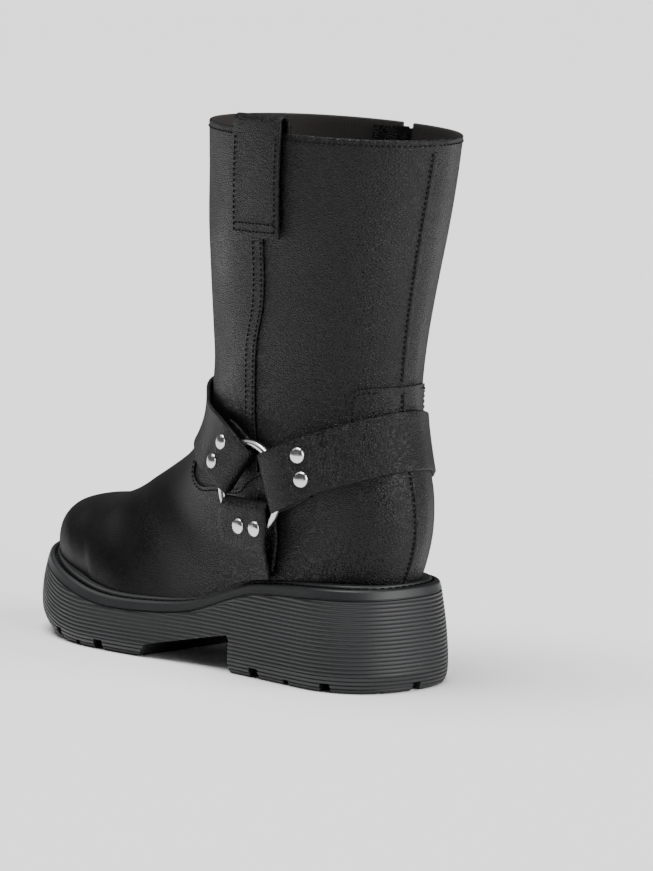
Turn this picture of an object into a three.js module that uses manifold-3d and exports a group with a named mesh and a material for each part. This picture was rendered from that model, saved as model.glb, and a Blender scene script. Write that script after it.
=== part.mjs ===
// Biker boot, left foot, in millimetres. The toe points along -Y, the outer side is +X and +Z is up.
// The origin lies on the floor under the middle of the heel block.
import * as THREE from "three";
import { mergeVertices } from "three/addons/utils/BufferGeometryUtils.js";
import Module from "manifold-3d";

const wasm = await Module();
wasm.setup();

// Driving sizes of the sole
const SOLE_LENGTH = 282;
const BALL_WIDTH = 100;
const HEEL_WIDTH = 82;
const HEEL_HEIGHT = 48.5;
const FORE_HEIGHT = 26;
const TOE_SPRING = 15;
const HEEL_BLOCK = 99;
const TREAD_START = 166;
const ARCH_HEIGHT = 18.8;
const ARCH_FRONT_HEIGHT = 7.4;
const HEEL_ROUND = 44;
const TOE_ROUND = 82;
const END_POWER = 2.35;
const RIB_PITCH = 2.1;
const RIB_DEPTH = 0.7;
const BAND_HEIGHT = 4;

// Driving sizes of the upper
const LEATHER = 2.2;
const OVERLAY = 1;
const SHAFT_HEIGHT = 224;
const SHAFT_WIDTH = 100;
const COLLAR_PLACE = { up: 1.009 };
const CLEAR = 0.3;
const INSOLE_THICKNESS = 4;
const SIDE_STRIP_WIDTH = 9;
const AROUND = 24;
const AROUND_INSIDE = 16;

// Driving sizes of the harness
const STRAP = 2.3;
const STRAP_WIDTH = 29;
const RING_RADIUS = 22;
const RING_WIRE = 4;
const RING_PLACE = { along: 0.2855, up: 0.212 };
const FOLD_REACH = 40;
const FOLD_TAPER = 6;
const STRAIGHT_FROM = 44;
const DOUBLE_REACH = 9;
const RIVET_RADIUS = 4;
const RIVET_DOME = 2.2;
const RIVET_SIDES = 8;
const RING_SIDES = 5;
const RING_STEPS = 20;

// Driving sizes of the pull loop and the zip
const LOOP_WIDTH = 35;
const LOOP_LEG = 53;
const LOOP_INNER_LEG = 34;
const LOOP_RISE = 4;
const LOOP_THICKNESS = 2;
const ZIP_SLOT = 9;
const ZIP_TEETH = 4;
const ZIP_TAPE = 1;
const TEETH_THICKNESS = 1.2;
const ZIP_END = 124;
const GUARD_WIDTH = 24;
const GUARD_FORWARD = 9;
const GUARD_THICKNESS = 1.2;

const FLOOR = 0;
const HEEL_CENTRE = HEEL_BLOCK / 2;

// A table with named columns, one object for each row.
function table(columns, rows) {
  const names = columns.split(" ");
  return rows.map((row) => Object.fromEntries(names.map((name, i) => [name, row[i]])));
}

// Sole's plan at shares of its length: half width in heel widths and in ball widths, and sideways shift.
const SOLE_PLAN = table("along heel ball shift", [
  [0.0, 0.5, 0.0, 0.0],
  [0.16, 0.5, 0.0, 0.0],
  [0.3, 0.48, 0.01, 0.0],
  [0.42, 0.36, 0.11, -0.004],
  [0.52, 0.16, 0.305, -0.008],
  [0.62, 0.04, 0.445, -0.012],
  [0.72, 0.0, 0.498, -0.018],
  [0.82, 0.0, 0.5, -0.035],
  [0.92, 0.0, 0.492, -0.05],
  [1.0, 0.0, 0.486, -0.06],
]);
// Height of the sole's upper edge between the forefoot's, 0, and the heel's, 1.
const SOLE_TOP = table("along level", [
  [0.0, 1.04],
  [0.14, 1.0],
  [0.3, 0.83],
  [0.37, 0.57],
  [0.47, 0.18],
  [0.58, 0.03],
  [0.7, 0.02],
  [0.82, 0.27],
  [0.92, 0.56],
  [1.0, 0.8],
]);
// Lift of the tread from the floor, in toe springs.
const TREAD_LIFT = table("along lift", [
  [0.76, 0.0],
  [0.83, 0.12],
  [0.9, 0.42],
  [1.0, 1.0],
]);
// Side wall from the floor to the lip: how far each level stands in from the sole's widest line.
const WALL_LEAN = table("up inset", [
  [0.0, 2.2],
  [0.05, 0.9],
  [0.14, 0.1],
  [0.3, 0.0],
  [0.6, 1.0],
  [1.0, 3.6],
]);
// Lip of the sole above its upper edge, from the wall in to the seat of the upper.
const LIP = table("inset rise", [
  [4.0, 0.0],
  [4.8, 1.2],
  [5.9, 1.8],
  [7.0, 1.5],
  [7.6, 0.3],
  [7.9, -0.9],
]);
const SEAT = { inset: 7.3, rise: 0.3 };
// Welt between the lip and the upper.
const WELT = table("inset rise", [
  [7.9, -0.6],
  [7.9, 2.2],
  [9.0, 3.2],
  [17.0, 3.2],
  [17.0, -0.6],
]);
const WELT_HEIGHT = 3.2;
// Line down the side of the shaft that the seam strip, the pull loop and the zip follow.
const SIDE_LINE = table("up along", [
  [-0.2, 0.3],
  [0.3, 0.3],
  [0.38, 0.3],
  [0.52, 0.286],
  [0.63, 0.255],
  [0.775, 0.2385],
  [1.0, 0.218],
  [1.3, 0.19],
]);
// Upper edge of the raised vamp and counter, from the instep round to the tab above the heel.
const OVERLAY_EDGE = table("along up", [
  [0.66, 0.35],
  [0.535, 0.345],
  [0.507, 0.292],
  [0.516, 0.216],
  [0.495, 0.19],
  [0.468, 0.183],
  [0.421, 0.192],
  [0.35, 0.194],
  [0.325, 0.219],
  [0.296, 0.237],
  [0.259, 0.254],
  [0.18, 0.285],
  [0.093, 0.325],
  [0.086, 0.378],
  [0.086, 0.42],
  [0.079, 0.437],
  [0.066, 0.447],
  [0.04, 0.45],
  [-0.1, 0.45],
]);
// Notches in the tread's edge: place along the sole, place out from its middle line in half widths,
// turn of the notch from straight out to the side, and its width, height and depth.
const NOTCHES = table("along out turn width height depth", [
  [0.279, 0.97, 0, 8, 5, 14],
  [0.191, 0.97, 0, 4.5, 2.6, 8],
  [0.096, 0.9, 12, 7, 4.4, 13],
  [0.033, 0.62, 50, 4.5, 2.6, 9],
  [0.688, 0.97, 0, 8, 5, 14],
  [0.75, 0.97, 0, 4.5, 2.6, 8],
  [0.818, 0.94, -15, 7, 5, 14],
  [0.886, 0.8, -30, 4.5, 2.6, 9],
  [0.95, 0.58, -52, 4.5, 2.6, 9],
]);
const HEEL_NOTCH = { width: 6, height: 4.2, depth: 12 };
// Groove between the ribs and the smooth band above them, in millimetres.
const GROOVE = table("depth rise", [
  [0.9, 0.4],
  [0.2, 0.9],
]);
// Straps seen from the outer side: turn of the folded end and of the rest up from straight forward,
// in degrees. In strap widths: the fold's distance from the ring's centre, its shift to one side, its
// width and the strap's.
const STRAPS = table("name foldTurn turn end shift foldWidth width", [
  ["heel", 160, 160, 0.452, 0.06, 1.05, 1.0],
  ["instep", 42, 24.5, 0.328, 0.0, 1.035, 1.2],
  ["stirrup", -89, -83, 0.207, 0.033, 1.15, 1.0],
]);
// Rivets on the straps, as places forward of and above the ring's centre in ring radii.
const RIVETS = table("strap forward up", [
  ["heel", -1.64, 0.89],
  ["heel", -1.76, 0.36],
  ["instep", 0.82, 0.97],
  ["instep", 1.15, 0.5],
  ["stirrup", 0.19, -0.89],
  ["stirrup", -0.37, -0.89],
]);
// Sections of the last, from the collar down to the heel and on to the toe. Each lies between a point
// on the back or bottom line and one on the front or top line, in shares of sole length and shaft height
// above the heel's upper edge. Half width is a sum of shares of the shaft's, heel's and ball's width.
// Shifts to the inner side are shares of the ball's width.
const SECTION_COLUMNS = "backAlong backUp frontAlong frontUp shaft heel ball backShift frontShift widest";
const SECTIONS = table(SECTION_COLUMNS + " backPower frontPower", [
  [-0.046,  0.991, 0.486,  1.018, 0.495, 0.000, 0.000,  0.000,  0.000, 0.50, 2.10, 2.10],
  [-0.030,  0.900, 0.484,  0.908, 0.485, 0.000, 0.000,  0.000,  0.000, 0.50, 2.15, 2.15],
  [-0.007,  0.783, 0.486,  0.792, 0.460, 0.000, 0.000,  0.000,  0.000, 0.50, 2.25, 2.25],
  [ 0.014,  0.663, 0.489,  0.672, 0.425, 0.000, 0.000,  0.000,  0.000, 0.50, 2.25, 2.25],
  [ 0.030,  0.551, 0.491,  0.560, 0.398, 0.000, 0.000,  0.000,  0.000, 0.50, 2.20, 2.20],
  [ 0.039,  0.453, 0.496,  0.480, 0.378, 0.000, 0.000,  0.000,  0.000, 0.48, 2.15, 2.15],
  [ 0.039,  0.373, 0.507,  0.426, 0.368, 0.000, 0.000,  0.000,  0.000, 0.46, 2.10, 2.10],
  [ 0.025,  0.283, 0.514,  0.373, 0.288, 0.088, 0.000,  0.000,  0.000, 0.44, 2.10, 2.10],
  [ 0.009,  0.194, 0.528,  0.328, 0.176, 0.215, 0.000,  0.000,  0.000, 0.42, 2.15, 2.15],
  [ 0.010,  0.105, 0.553,  0.283, 0.068, 0.330, 0.000,  0.000,  0.000, 0.42, 2.20, 2.20],
  [ 0.041,  0.007, 0.585,  0.246, 0.000, 0.395, 0.000,  0.000,  0.000, 0.42, 2.40, 2.20],
  [ 0.082, -0.074, 0.626,  0.217, 0.000, 0.383, 0.000,  0.000, -0.010, 0.42, 2.45, 2.20],
  [ 0.170, -0.092, 0.667,  0.190, 0.000, 0.368, 0.000,  0.000, -0.015, 0.40, 2.40, 2.20],
  [ 0.301, -0.118, 0.702,  0.167, 0.000, 0.301, 0.062,  0.000, -0.020, 0.36, 2.50, 2.20],
  [ 0.426, -0.163, 0.734,  0.145, 0.000, 0.236, 0.129,  0.000, -0.025, 0.30, 2.50, 2.20],
  [ 0.532, -0.190, 0.766,  0.127, 0.000, 0.105, 0.260,  0.000, -0.030, 0.25, 2.50, 2.20],
  [ 0.631, -0.199, 0.791,  0.116, 0.000, 0.000, 0.374, -0.010, -0.035, 0.22, 2.50, 2.25],
  [ 0.709, -0.199, 0.819,  0.104, 0.000, 0.000, 0.378, -0.020, -0.040, 0.20, 2.50, 2.30],
  [ 0.730, -0.199, 0.851,  0.098, 0.000, 0.000, 0.364, -0.020, -0.045, 0.20, 2.50, 2.40],
  [ 0.738, -0.199, 0.888,  0.096, 0.000, 0.000, 0.352, -0.020, -0.050, 0.20, 2.50, 2.60],
  [ 0.741, -0.199, 0.922,  0.082, 0.000, 0.000, 0.344, -0.020, -0.055, 0.20, 2.50, 2.75],
  [ 0.745, -0.199, 0.949,  0.054, 0.000, 0.000, 0.338, -0.020, -0.060, 0.20, 2.50, 2.75],
  [ 0.745, -0.199, 0.959,  0.016, 0.000, 0.000, 0.332, -0.020, -0.060, 0.20, 2.50, 2.60],
  [ 0.745, -0.199, 0.950, -0.033, 0.000, 0.000, 0.326, -0.020, -0.060, 0.20, 2.50, 2.45],
  [ 0.745, -0.199, 0.933, -0.092, 0.000, 0.000, 0.324, -0.020, -0.060, 0.20, 2.50, 2.30],
]);

function smoothAt(rows, key, column, at) {
  const last = rows.length - 1;
  if (at <= rows[0][key]) return rows[0][column];
  if (at >= rows[last][key]) return rows[last][column];
  let i = 0;
  while (at > rows[i + 1][key]) i += 1;
  const slope = (k) => {
    const before = rows[Math.max(k - 1, 0)];
    const after = rows[Math.min(k + 1, last)];
    return (after[column] - before[column]) / (after[key] - before[key]);
  };
  const step = rows[i + 1][key] - rows[i][key];
  const t = (at - rows[i][key]) / step;
  const start = (1 + 2 * t) * (1 - t) ** 2 * rows[i][column] + t * (1 - t) ** 2 * step * slope(i);
  const end = t ** 2 * (3 - 2 * t) * rows[i + 1][column] - t ** 2 * (1 - t) * step * slope(i + 1);
  return start + end;
}

// Closed solids from rings of points
function solidOf(points, triangles) {
  const geometry = new THREE.BufferGeometry();
  const numbers = points.flatMap((p) => [p.x, p.y, p.z]);
  geometry.setAttribute("position", new THREE.Float32BufferAttribute(numbers, 3));
  geometry.setIndex(triangles.flat());
  return solidOfGeometry(geometry);
}

function solidOfGeometry(source) {
  const bare = source.clone();
  bare.deleteAttribute("normal");
  bare.deleteAttribute("uv");
  const merged = mergeVertices(bare, 1e-4);
  const index = merged.index.array;
  const kept = [];
  for (let i = 0; i < index.length; i += 3) {
    const [a, b, c] = [index[i], index[i + 1], index[i + 2]];
    if (a !== b && b !== c && a !== c) kept.push(a, b, c);
  }
  const vertProperties = new Float32Array(merged.attributes.position.array);
  const closed = () => {
    const mesh = new wasm.Mesh({ numProp: 3, vertProperties, triVerts: new Uint32Array(kept) });
    return new wasm.Manifold(mesh);
  };
  const made = closed();
  if (made.volume() > 0) return made;
  for (let i = 0; i < kept.length; i += 3) [kept[i], kept[i + 1]] = [kept[i + 1], kept[i]];
  return closed();
}

function sideTriangles(rings, closed) {
  const n = rings[0].length;
  const triangles = [];
  const rows = closed ? rings.length : rings.length - 1;
  for (let k = 0; k < rows; k += 1) {
    const next = (k + 1) % rings.length;
    for (let j = 0; j < n; j += 1) {
      const [a, b] = [k * n + j, k * n + ((j + 1) % n)];
      const [c, d] = [next * n + ((j + 1) % n), next * n + j];
      triangles.push([a, b, c], [a, c, d]);
    }
  }
  return triangles;
}

// A ring's point j on one side pairs with point n - j on the other, and strips between pairs close it.
function capTriangles(n, start, flip) {
  const triangles = [];
  for (let j = 0; j < n / 2; j += 1) {
    const [a, b] = [start + j, start + j + 1];
    const [c, d] = [start + n - j - 1, start + ((n - j) % n)];
    triangles.push(flip ? [a, b, c] : [c, b, a], flip ? [a, c, d] : [d, c, a]);
  }
  return triangles;
}

function stack(rings) {
  const n = rings[0].length;
  const caps = [...capTriangles(n, 0, false), ...capTriangles(n, (rings.length - 1) * n, true)];
  return solidOf(rings.flat(), [...sideTriangles(rings, false), ...caps]);
}

function hoop(rings) {
  return solidOf(rings.flat(), sideTriangles(rings, true));
}

// Plan of the sole
function soleEdge(s, side) {
  const heel = Math.max(0, 1 - s / HEEL_ROUND);
  const toe = Math.max(0, 1 - (SOLE_LENGTH - s) / TOE_ROUND);
  const round = ((1 - heel ** END_POWER) * (1 - toe ** END_POWER)) ** (1 / END_POWER);
  const at = (column) => smoothAt(SOLE_PLAN, "along", column, s / SOLE_LENGTH);
  return BALL_WIDTH * at("shift") + side * round * (HEEL_WIDTH * at("heel") + BALL_WIDTH * at("ball"));
}

const HEEL_STEPS = 5;
const WAIST_STEPS = 5;
const TOE_STEPS = 6;
const STATIONS = [];
for (let i = 0; i < HEEL_STEPS; i += 1) {
  STATIONS.push(HEEL_ROUND * (1 - Math.cos(((i / HEEL_STEPS) * Math.PI) / 2)));
}
for (let i = 0; i < WAIST_STEPS; i += 1) {
  STATIONS.push(HEEL_ROUND + (i / WAIST_STEPS) * (SOLE_LENGTH - TOE_ROUND - HEEL_ROUND));
}
for (let i = 0; i <= TOE_STEPS; i += 1) {
  STATIONS.push(SOLE_LENGTH - TOE_ROUND * (1 - Math.sin(((i / TOE_STEPS) * Math.PI) / 2)));
}
const PLAN = [
  ...STATIONS.map((s) => [s, soleEdge(s, 1)]),
  ...STATIONS.slice(1, -1).reverse().map((s) => [s, soleEdge(s, -1)]),
];

// A ring round the sole, in from its widest line by an inset, at a height given along the sole.
function soleRing(insetAt, heightAt) {
  return PLAN.map(([s, u], i) => {
    const [s0, u0] = PLAN[(i + PLAN.length - 1) % PLAN.length];
    const [s1, u1] = PLAN[(i + 1) % PLAN.length];
    const length = Math.hypot(s1 - s0, u1 - u0);
    const inset = insetAt(s);
    const along = s + (inset * (u1 - u0)) / length;
    return new THREE.Vector3(u - (inset * (s1 - s0)) / length, HEEL_CENTRE - along, heightAt(along));
  });
}

const upAt = (share) => HEEL_HEIGHT + share * SHAFT_HEIGHT;
const soleTop = (s) => {
  return FORE_HEIGHT + (HEEL_HEIGHT - FORE_HEIGHT) * smoothAt(SOLE_TOP, "along", "level", s / SOLE_LENGTH);
};
const treadLift = (s) => TOE_SPRING * smoothAt(TREAD_LIFT, "along", "lift", s / SOLE_LENGTH);
const grooveLine = (s) => soleTop(s) - BAND_HEIGHT;
const seat = (s) => soleTop(s) + SEAT.rise;

function lean(s, z) {
  const up = (z - treadLift(s)) / (soleTop(s) - treadLift(s));
  return smoothAt(WALL_LEAN, "up", "inset", up);
}

// Outsole
function outsole() {
  const rings = [soleRing((s) => lean(s, treadLift(s)), treadLift)];
  const halfRibs = Math.ceil((2 * grooveLine(0)) / RIB_PITCH);
  for (let k = 1; k <= halfRibs; k += 1) {
    const free = (s) => treadLift(s) + (k * RIB_PITCH) / 2;
    const height = (s) => Math.min(free(s), grooveLine(s));
    const depth = (s) => (k % 2 === 0 && free(s) < grooveLine(s) ? RIB_DEPTH : 0);
    rings.push(soleRing((s) => lean(s, height(s)) + depth(s), height));
  }
  for (const row of GROOVE) {
    rings.push(soleRing((s) => lean(s, grooveLine(s)) + row.depth, (s) => grooveLine(s) + row.rise));
  }
  for (const row of LIP) rings.push(soleRing(() => row.inset, (s) => soleTop(s) + row.rise));
  const inLip = [seatRing(SEAT.inset, -BAND_HEIGHT), seatRing(SEAT.inset, BAND_HEIGHT)];
  return stack(rings).add(seatLayer(-BAND_HEIGHT / 2, 0).intersect(stack(inLip)));
}

function seatRing(inset, rise) {
  return soleRing(() => inset, (s) => seat(s) + rise);
}

// Layer between two heights above the seat of the upper
function seatLayer(low, high) {
  const far = SOLE_LENGTH / 4;
  const ring = (rise) => {
    const level = (s, side) => new THREE.Vector3(side * SHAFT_WIDTH, HEEL_CENTRE - s, seat(s) + rise);
    const edge = (side) => STATIONS.map((s) => level(s, side));
    const end = (s) => new THREE.Vector3(0, HEEL_CENTRE - s, seat(s) + rise);
    return [end(-far), ...edge(1), end(SOLE_LENGTH + far), ...edge(-1).reverse()];
  };
  return stack([ring(low), ring(high)]);
}

// Solid of the last, grown by a distance. Its collar end may stand out past the collar.
function lastRing(row, grow, raise, around) {
  const back = new THREE.Vector2(row.backAlong * SOLE_LENGTH, upAt(row.backUp) + raise);
  const front = new THREE.Vector2(row.frontAlong * SOLE_LENGTH, upAt(row.frontUp) + raise);
  const axis = front.clone().sub(back);
  const length = axis.length();
  axis.normalize();
  const width = SHAFT_WIDTH * row.shaft + HEEL_WIDTH * row.heel + BALL_WIDTH * row.ball;
  const ring = [];
  for (let j = 0; j < around; j += 1) {
    const angle = (j / around) * 2 * Math.PI;
    const [c, d] = [Math.cos(angle), Math.sin(angle)];
    const power = c > 0 ? row.frontPower : row.backPower;
    const reach = Math.abs(c) ** (2 / power);
    const half = (width + grow) * Math.sign(d) * Math.abs(d) ** (2 / power);
    const widest = row.widest * length;
    const at = c > 0 ? widest + (length - widest + grow) * reach : widest - (widest + grow) * reach;
    const shift = (row.backShift + (row.frontShift - row.backShift) * (at / length)) * BALL_WIDTH;
    ring.push(new THREE.Vector3(
      shift + (Math.abs(d) < 1e-9 ? 0 : half),
      HEEL_CENTRE - (back.x + axis.x * at),
      back.y + axis.y * at,
    ));
  }
  return ring;
}

function last(grow, raise = 0) {
  const around = grow < 0 ? AROUND_INSIDE : AROUND;
  const rings = SECTIONS.map((row) => lastRing(row, grow, 0, around));
  if (raise > 0) rings.unshift(lastRing(SECTIONS[0], grow, raise, around));
  return stack(rings);
}

const underSeat = seatLayer(-3 * HEEL_HEIGHT, CLEAR);
const inside = last(-LEATHER, 4 * LEATHER);

// Straight prism across the boot, on one side or both, from points along the sole and up
const BOTH = 0;
const OUTER = 1;
const INNER = -1;
const REACH = 2 * SHAFT_WIDTH;

function across(points, side = BOTH) {
  const shape = new THREE.Shape(points.map(([s, z]) => new THREE.Vector2(HEEL_CENTRE - s, z)));
  const depth = side === BOTH ? 2 * REACH : REACH;
  const prism = new THREE.ExtrudeGeometry(shape, { depth, bevelEnabled: false });
  const turn = new THREE.Matrix4().makeBasis(
    new THREE.Vector3(0, 1, 0),
    new THREE.Vector3(0, 0, 1),
    new THREE.Vector3(1, 0, 0),
  );
  prism.applyMatrix4(turn);
  if (side !== OUTER) prism.translate(-REACH, 0, 0);
  return solidOfGeometry(prism);
}

// Layer that lies over the last, between two distances from it
function layer(low, high) {
  return last(high, 2 * LEATHER).subtract(last(low, 3 * LEATHER));
}


// The side line is straight between levels that stand one step apart.
const SIDE_STEP = SHAFT_HEIGHT / 10;
const SIDE_LEVELS = { first: -2, last: 12 };
const sidePoint = (level) => {
  return SOLE_LENGTH * smoothAt(SIDE_LINE, "up", "along", (level * SIDE_STEP) / SHAFT_HEIGHT);
};

function sideLine(z) {
  const level = (z - HEEL_HEIGHT) / SIDE_STEP;
  const below = Math.floor(level);
  return sidePoint(below) + (level - below) * (sidePoint(below + 1) - sidePoint(below));
}

// Band along the side line, offset to the front by a distance, from one height to another
function sideBand(width, low, high, side, forward = 0) {
  const heights = [low];
  for (let k = SIDE_LEVELS.first; k <= SIDE_LEVELS.last; k += 1) {
    const z = HEEL_HEIGHT + k * SIDE_STEP;
    if (z > low + CLEAR && z < high - CLEAR) heights.push(z);
  }
  heights.push(high);
  const front = heights.map((z) => [sideLine(z) + forward + width / 2, z]);
  const back = heights.map((z) => [sideLine(z) + forward - width / 2, z]);
  return across([...front, ...back.reverse()], side);
}

const COLLAR = upAt(COLLAR_PLACE.up);
const BEYOND = COLLAR + 8 * LEATHER;
const STRAP_BASE = OVERLAY + CLEAR;

// Ring's centre on the side of the boot, and the wire's distance from the middle plane
const RING_ALONG = RING_PLACE.along * SOLE_LENGTH;
const RING_UP = upAt(RING_PLACE.up);
const FOLD_HALF = RING_WIRE / 2 + CLEAR + STRAP;
const strapBase = last(STRAP_BASE);
const RING_OUT = surfaceAt(strapBase, RING_ALONG, RING_UP, OUTER).point.x + FOLD_HALF;

function meshOf(solid) {
  const { vertProperties, triVerts, numProp } = solid.getMesh();
  const positions = new Float32Array((vertProperties.length / numProp) * 3);
  for (let i = 0; i < positions.length / 3; i += 1) {
    for (let k = 0; k < 3; k += 1) positions[3 * i + k] = vertProperties[i * numProp + k];
  }
  const geometry = new THREE.BufferGeometry();
  geometry.setAttribute("position", new THREE.BufferAttribute(positions, 3));
  geometry.setIndex(new THREE.BufferAttribute(new Uint32Array(triVerts), 1));
  return geometry;
}

function surfaceAt(solid, s, z, side) {
  const start = new THREE.Vector3(side * REACH, HEEL_CENTRE - s, z);
  const ray = new THREE.Raycaster(start, new THREE.Vector3(-side, 0, 0));
  const hit = ray.intersectObject(new THREE.Mesh(meshOf(solid)))[0];
  return { point: hit.point, normal: hit.face.normal };
}

// Outsole with its arch and the notches of its tread
function tread() {
  const arch = across([
    [HEEL_BLOCK, FLOOR - 1],
    [HEEL_BLOCK - 1, ARCH_HEIGHT],
    [TREAD_START - 8, ARCH_FRONT_HEIGHT],
    [TREAD_START, FLOOR - 1],
  ]);
  let solid = outsole().subtract(arch);
  for (const side of [OUTER, INNER]) {
    for (const row of NOTCHES) {
      const s = row.along * SOLE_LENGTH;
      const middle = (soleEdge(s, 1) + soleEdge(s, -1)) / 2;
      const x = middle + row.out * (soleEdge(s, side) - middle);
      solid = solid.subtract(notch(row, x, HEEL_CENTRE - s, side * (90 - row.turn), treadLift(s)));
    }
  }
  return solid.subtract(notch(HEEL_NOTCH, 0, HEEL_CENTRE, 0, FLOOR));
}

// The notch's direction is turned from straight back towards the side, in degrees
function notch(size, x, y, turn, lift) {
  const box = new THREE.BoxGeometry(size.width, size.depth, 2 * size.height);
  box.rotateZ(-THREE.MathUtils.degToRad(turn));
  box.translate(x, y, lift);
  return solidOfGeometry(box);
}

function welt() {
  const ring = hoop(WELT.map((row) => soleRing(() => row.inset, (s) => soleTop(s) + row.rise)));
  return ring.subtract(last(OVERLAY + CLEAR)).subtract(underSeat);
}

// Upper: one shell with raised vamp, counter and side strip, and the slot of the zip
function upper() {
  const edge = OVERLAY_EDGE.map((row) => [row.along * SOLE_LENGTH, upAt(row.up)]);
  const low = FLOOR - HEEL_HEIGHT;
  const far = 1.2 * SOLE_LENGTH;
  const covered = across([...edge, [-0.1 * SOLE_LENGTH, low], [far, low], [far, edge[0][1]]]);
  const strip = sideBand(SIDE_STRIP_WIDTH, RING_UP, BEYOND, OUTER);
  const raised = last(OVERLAY).intersect(covered.add(strip));
  const slot = sideBand(ZIP_SLOT, ZIP_END, BEYOND, INNER);
  return last(0).add(raised).subtract(inside).subtract(underSeat).subtract(slot);
}

function insole() {
  return seatLayer(CLEAR, CLEAR + INSOLE_THICKNESS).intersect(last(-LEATHER - CLEAR));
}

// Points given by their distance along a strap and across it, seen from the side
function strapFrame(degrees) {
  const angle = THREE.MathUtils.degToRad(degrees);
  const [c, d] = [Math.cos(angle), Math.sin(angle)];
  return (along, out) => [RING_ALONG + along * c - out * d, RING_UP + along * d + out * c];
}

// Shape of a strap between two distances from the ring's centre. It bends to its own turn near the ring.
function strapBand(row, from, to, side) {
  const fold = strapFrame(row.foldTurn);
  const rest = strapFrame(row.turn);
  const edge = (out) => {
    const near = ((out * row.foldWidth) / 2 + row.shift) * STRAP_WIDTH;
    const far = (out * row.width * STRAP_WIDTH) / 2;
    const points = [fold(from, near), fold(RING_RADIUS, near)];
    if (to > STRAIGHT_FROM) points.push(rest(STRAIGHT_FROM, far), rest(to, far));
    else points.push(fold(to, near));
    return points;
  };
  return across([...edge(1), ...edge(-1).reverse()], side);
}

// End of a strap, folded round the ring's wire: the profile runs along the strap and out from the wire
function foldedEnd(row, side) {
  const end = row.end * STRAP_WIDTH;
  const width = row.foldWidth * STRAP_WIDTH;
  const shape = new THREE.Shape();
  shape.moveTo(end, -3 * FOLD_HALF);
  shape.lineTo(end, FOLD_HALF - 2 * STRAP);
  shape.quadraticCurveTo(end, FOLD_HALF, end + FOLD_HALF, FOLD_HALF);
  shape.lineTo(RING_RADIUS, FOLD_HALF);
  shape.bezierCurveTo(
    RING_RADIUS + FOLD_TAPER,
    FOLD_HALF,
    FOLD_REACH - FOLD_TAPER,
    2 * STRAP - FOLD_HALF,
    FOLD_REACH,
    2 * STRAP - FOLD_HALF,
  );
  shape.lineTo(FOLD_REACH, -3 * FOLD_HALF);
  const body = new THREE.ExtrudeGeometry(shape, { depth: width, bevelEnabled: false, curveSegments: 3 });
  body.translate(0, 0, side * row.shift * STRAP_WIDTH - width / 2);
  const frame = strapFrame(row.foldTurn);
  const [s0, z0] = frame(0, 0);
  const [s1, z1] = frame(1, 0);
  const along = new THREE.Vector3(0, s0 - s1, z1 - z0);
  const out = new THREE.Vector3(side, 0, 0);
  const matrix = new THREE.Matrix4().makeBasis(along, out, new THREE.Vector3().crossVectors(along, out));
  matrix.setPosition(side * RING_OUT, HEEL_CENTRE - RING_ALONG, RING_UP);
  body.applyMatrix4(matrix);
  return solidOfGeometry(body);
}

function ringSolid(side, grow) {
  const torus = new THREE.TorusGeometry(RING_RADIUS, RING_WIRE / 2 + grow, RING_SIDES, RING_STEPS);
  torus.rotateY(Math.PI / 2);
  torus.translate(side * RING_OUT, HEEL_CENTRE - RING_ALONG, RING_UP);
  return solidOfGeometry(torus);
}

const strapLayer = last(STRAP_BASE + STRAP).subtract(strapBase);
const doubleLayer = last(STRAP_BASE + 2 * STRAP).subtract(strapBase);
const FOLD_START = RING_RADIUS - RING_WIRE;

// Strap from ring to ring round the boot, with an end folded round each ring
function strap(row) {
  const doubled = FOLD_REACH + DOUBLE_REACH;
  let solid = strapLayer.intersect(strapBand(row, FOLD_START, SOLE_LENGTH, BOTH));
  solid = solid.add(doubleLayer.intersect(strapBand(row, FOLD_START, doubled, BOTH)));
  for (const side of [OUTER, INNER]) {
    const end = foldedEnd(row, side).intersect(strapBand(row, 0, doubled, side));
    solid = solid.add(end).subtract(ringSolid(side, CLEAR));
  }
  return solid.subtract(strapBase);
}

// Stirrup strap: folded round the ring, it lies double down to the welt
function stirrup(row, side) {
  const onWelt = WELT_HEIGHT + 1.5 * CLEAR;
  const belowWelt = stack([seatRing(0, -HEEL_HEIGHT), seatRing(0, onWelt)]);
  const lower = doubleLayer.intersect(strapBand(row, FOLD_START, RING_UP, side));
  const end = foldedEnd(row, side).intersect(strapBand(row, 0, FOLD_REACH, side));
  return lower.add(end).subtract(belowWelt).subtract(ringSolid(side, CLEAR)).subtract(strapBase);
}

// Domed rivet on the outside of a strap, clear of the leather under the whole of its foot
function rivet(carrier, place, side) {
  const on = (forward, up) => {
    const s = RING_ALONG + place.forward * RING_RADIUS + forward;
    return surfaceAt(carrier, s, RING_UP + place.up * RING_RADIUS + up, side).point;
  };
  const rim = Array.from({ length: RIVET_SIDES }, (_, i) => {
    const angle = (i / RIVET_SIDES) * 2 * Math.PI;
    return on(RIVET_RADIUS * Math.cos(angle), RIVET_RADIUS * Math.sin(angle));
  });
  const middle = on(0, 0);
  const quarter = RIVET_SIDES / 4;
  const forward = rim[0].clone().sub(rim[2 * quarter]);
  const upward = rim[quarter].clone().sub(rim[3 * quarter]);
  const normal = upward.cross(forward).normalize();
  if (normal.x * side < 0) normal.negate();
  const lift = Math.max(0, ...rim.map((point) => point.sub(middle).dot(normal)));
  const profile = [
    [0, 0],
    [1, 0],
    [1, 0.3],
    [0.6, 0.85],
    [0, 1],
  ];
  const dome = new THREE.LatheGeometry(
    profile.map(([r, h]) => new THREE.Vector2(r * RIVET_RADIUS, CLEAR + lift + h * RIVET_DOME)),
    RIVET_SIDES,
  );
  dome.applyQuaternion(new THREE.Quaternion().setFromUnitVectors(new THREE.Vector3(0, 1, 0), normal));
  dome.translate(middle.x, middle.y, middle.z);
  return solidOfGeometry(dome);
}

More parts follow.
